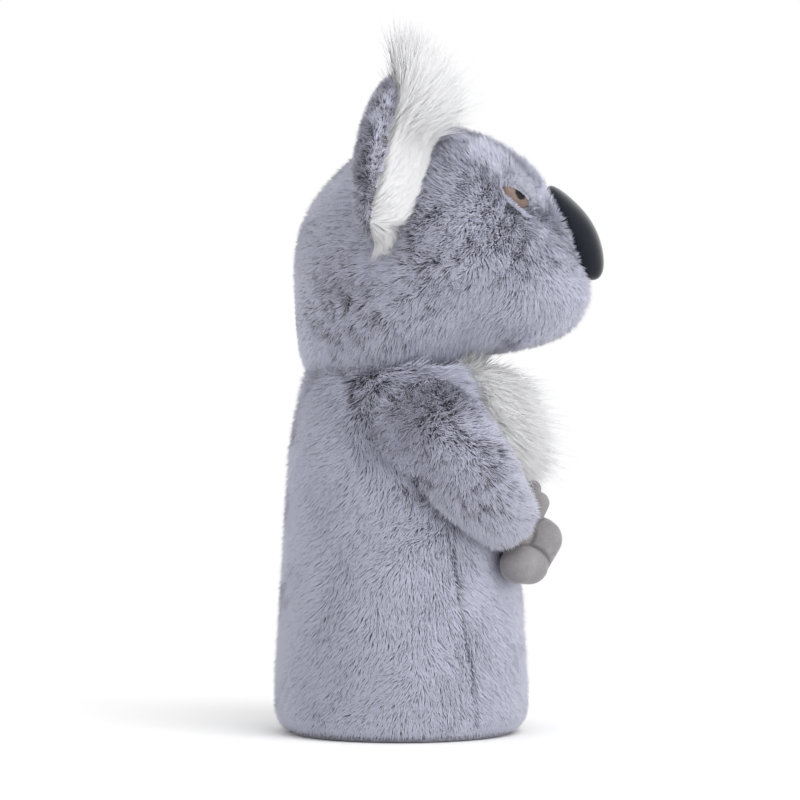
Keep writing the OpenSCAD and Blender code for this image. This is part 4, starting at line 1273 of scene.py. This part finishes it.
class HEADCOVER_OT_stage(Operator):
    """Set the floor, the lamps, the world and the camera"""

    bl_idname = "headcover.stage"
    bl_label = "Stage"

    def execute(self, context):
        stage, scene = context.scene.headcover_stage, context.scene
        scene.view_settings.view_transform = "Standard"
        camera = bpy.data.cameras.new("camera")
        camera.sensor_width = SENSOR
        camera.lens = SENSOR * stage.distance / stage.field
        camera.clip_start, camera.clip_end = 0.05, 50
        eye = placed("camera", camera)
        eye.location = (-stage.distance, CAMERA_Y, stage.height)
        eye.rotation_euler = (np.pi / 2, 0, -np.pi / 2)
        scene.camera = eye
        plain, tree, shader = finish_of("floor", 0.9, 0.1)
        shader.inputs["Base Color"].default_value = (*stage.floor, 1)
        away = node(tree, "VectorMath", {0: own_place(tree)}, operation="LENGTH").outputs["Value"]
        bleached = node(tree, "MapRange", {"Value": away, "From Min": FLOOR_FADE[0], "From Max": FLOOR_FADE[1]},
                        interpolation_type="SMOOTHSTEP").outputs["Result"]
        bright = node(tree, "Emission", {"Color": (1, 1, 1, 1), "Strength": 1.0})
        blend = node(tree, "MixShader", {0: math_node(tree, "MULTIPLY", bleached, self.looked_at(tree)),
                                         1: shader.outputs[0], 2: bright.outputs[0]})
        tree.links.new(blend.outputs[0], tree.nodes["Material Output"].inputs["Surface"])
        points = np.array([(-1, -1, 0), (1, -1, 0), (1, 1, 0), (-1, 1, 0)], float) * FLOOR_REACH
        floor = mesh_piece("floor", points, [np.array([(0, 1, 2, 3)])], "trunk", plain, False)
        floor.parent = None
        self.lamp("key_lamp", stage.key, KEY_PLACE)
        self.lamp("front_lamp", stage.front, FRONT_PLACE)
        world = bpy.data.worlds.new("world")
        scene.world = world
        world.use_nodes = True
        tree = world.node_tree
        light = tree.nodes["Background"]
        light.inputs["Color"].default_value = (1, 1, 1, 1)
        light.inputs["Strength"].default_value = stage.fill
        seen = node(tree, "Background", {"Color": (1, 1, 1, 1), "Strength": 1.0})
        both = node(tree, "MixShader", {0: self.looked_at(tree), 1: light.outputs[0], 2: seen.outputs[0]})
        tree.links.new(both.outputs[0], tree.nodes["World Output"].inputs["Surface"])
        return {"FINISHED"}

    def looked_at(self, tree):
        """1 where the camera sees a thing, itself or in a mirror or through glass, and 0 where it only gives
        light."""
        rays = node(tree, "LightPath")
        return math_node(tree, "MAXIMUM", rays.outputs["Is Camera Ray"], math_node(
            tree, "MAXIMUM", rays.outputs["Is Glossy Ray"], rays.outputs["Is Transmission Ray"]))

    def lamp(self, name, power, place):
        """A square lamp that looks at the middle of the cover."""
        data = bpy.data.lights.new(name, "AREA")
        data.energy, data.size = power, LAMP_SIZE
        obj = placed(name, data)
        obj.location = place
        obj.rotation_euler = (Vector((0, 0, LAMP_AIM)) - Vector(place)).to_track_quat("-Z", "Y").to_euler()


OPERATORS = (HEADCOVER_OT_stage, HEADCOVER_OT_lining, HEADCOVER_OT_sock, HEADCOVER_OT_head, HEADCOVER_OT_face,
             HEADCOVER_OT_ears, HEADCOVER_OT_bib, HEADCOVER_OT_arms, HEADCOVER_OT_paws)
SETTINGS = (("headcover_pile", HEADCOVER_PG_pile), ("headcover_trim", HEADCOVER_PG_trim),
            ("headcover_stage", HEADCOVER_PG_stage))


class HEADCOVER_PT_panel(Panel):
    """The head cover's settings and pieces"""

    bl_idname = "HEADCOVER_PT_panel"
    bl_label = "Koala Head Cover"
    bl_space_type = "VIEW_3D"
    bl_region_type = "UI"
    bl_category = "Head Cover"

    def draw(self, context):
        for place, group in SETTINGS:
            box = self.layout.box()
            for prop in group.__annotations__:
                box.prop(getattr(context.scene, place), prop)
        for made in OPERATORS:
            self.layout.operator(made.bl_idname)


def register():
    for place, group in SETTINGS:
        bpy.utils.register_class(group)
        setattr(bpy.types.Scene, place, PointerProperty(type=group))
    for made in (*OPERATORS, HEADCOVER_PT_panel):
        bpy.utils.register_class(made)


def unregister():
    for made in (HEADCOVER_PT_panel, *reversed(OPERATORS)):
        bpy.utils.unregister_class(made)
    for place, group in reversed(SETTINGS):
        delattr(bpy.types.Scene, place)
        bpy.utils.unregister_class(group)


def main():
    register()
    for made in OPERATORS:
        family, name = made.bl_idname.split(".")
        getattr(getattr(bpy.ops, family), name)()


if __name__ == "__main__":
    main()
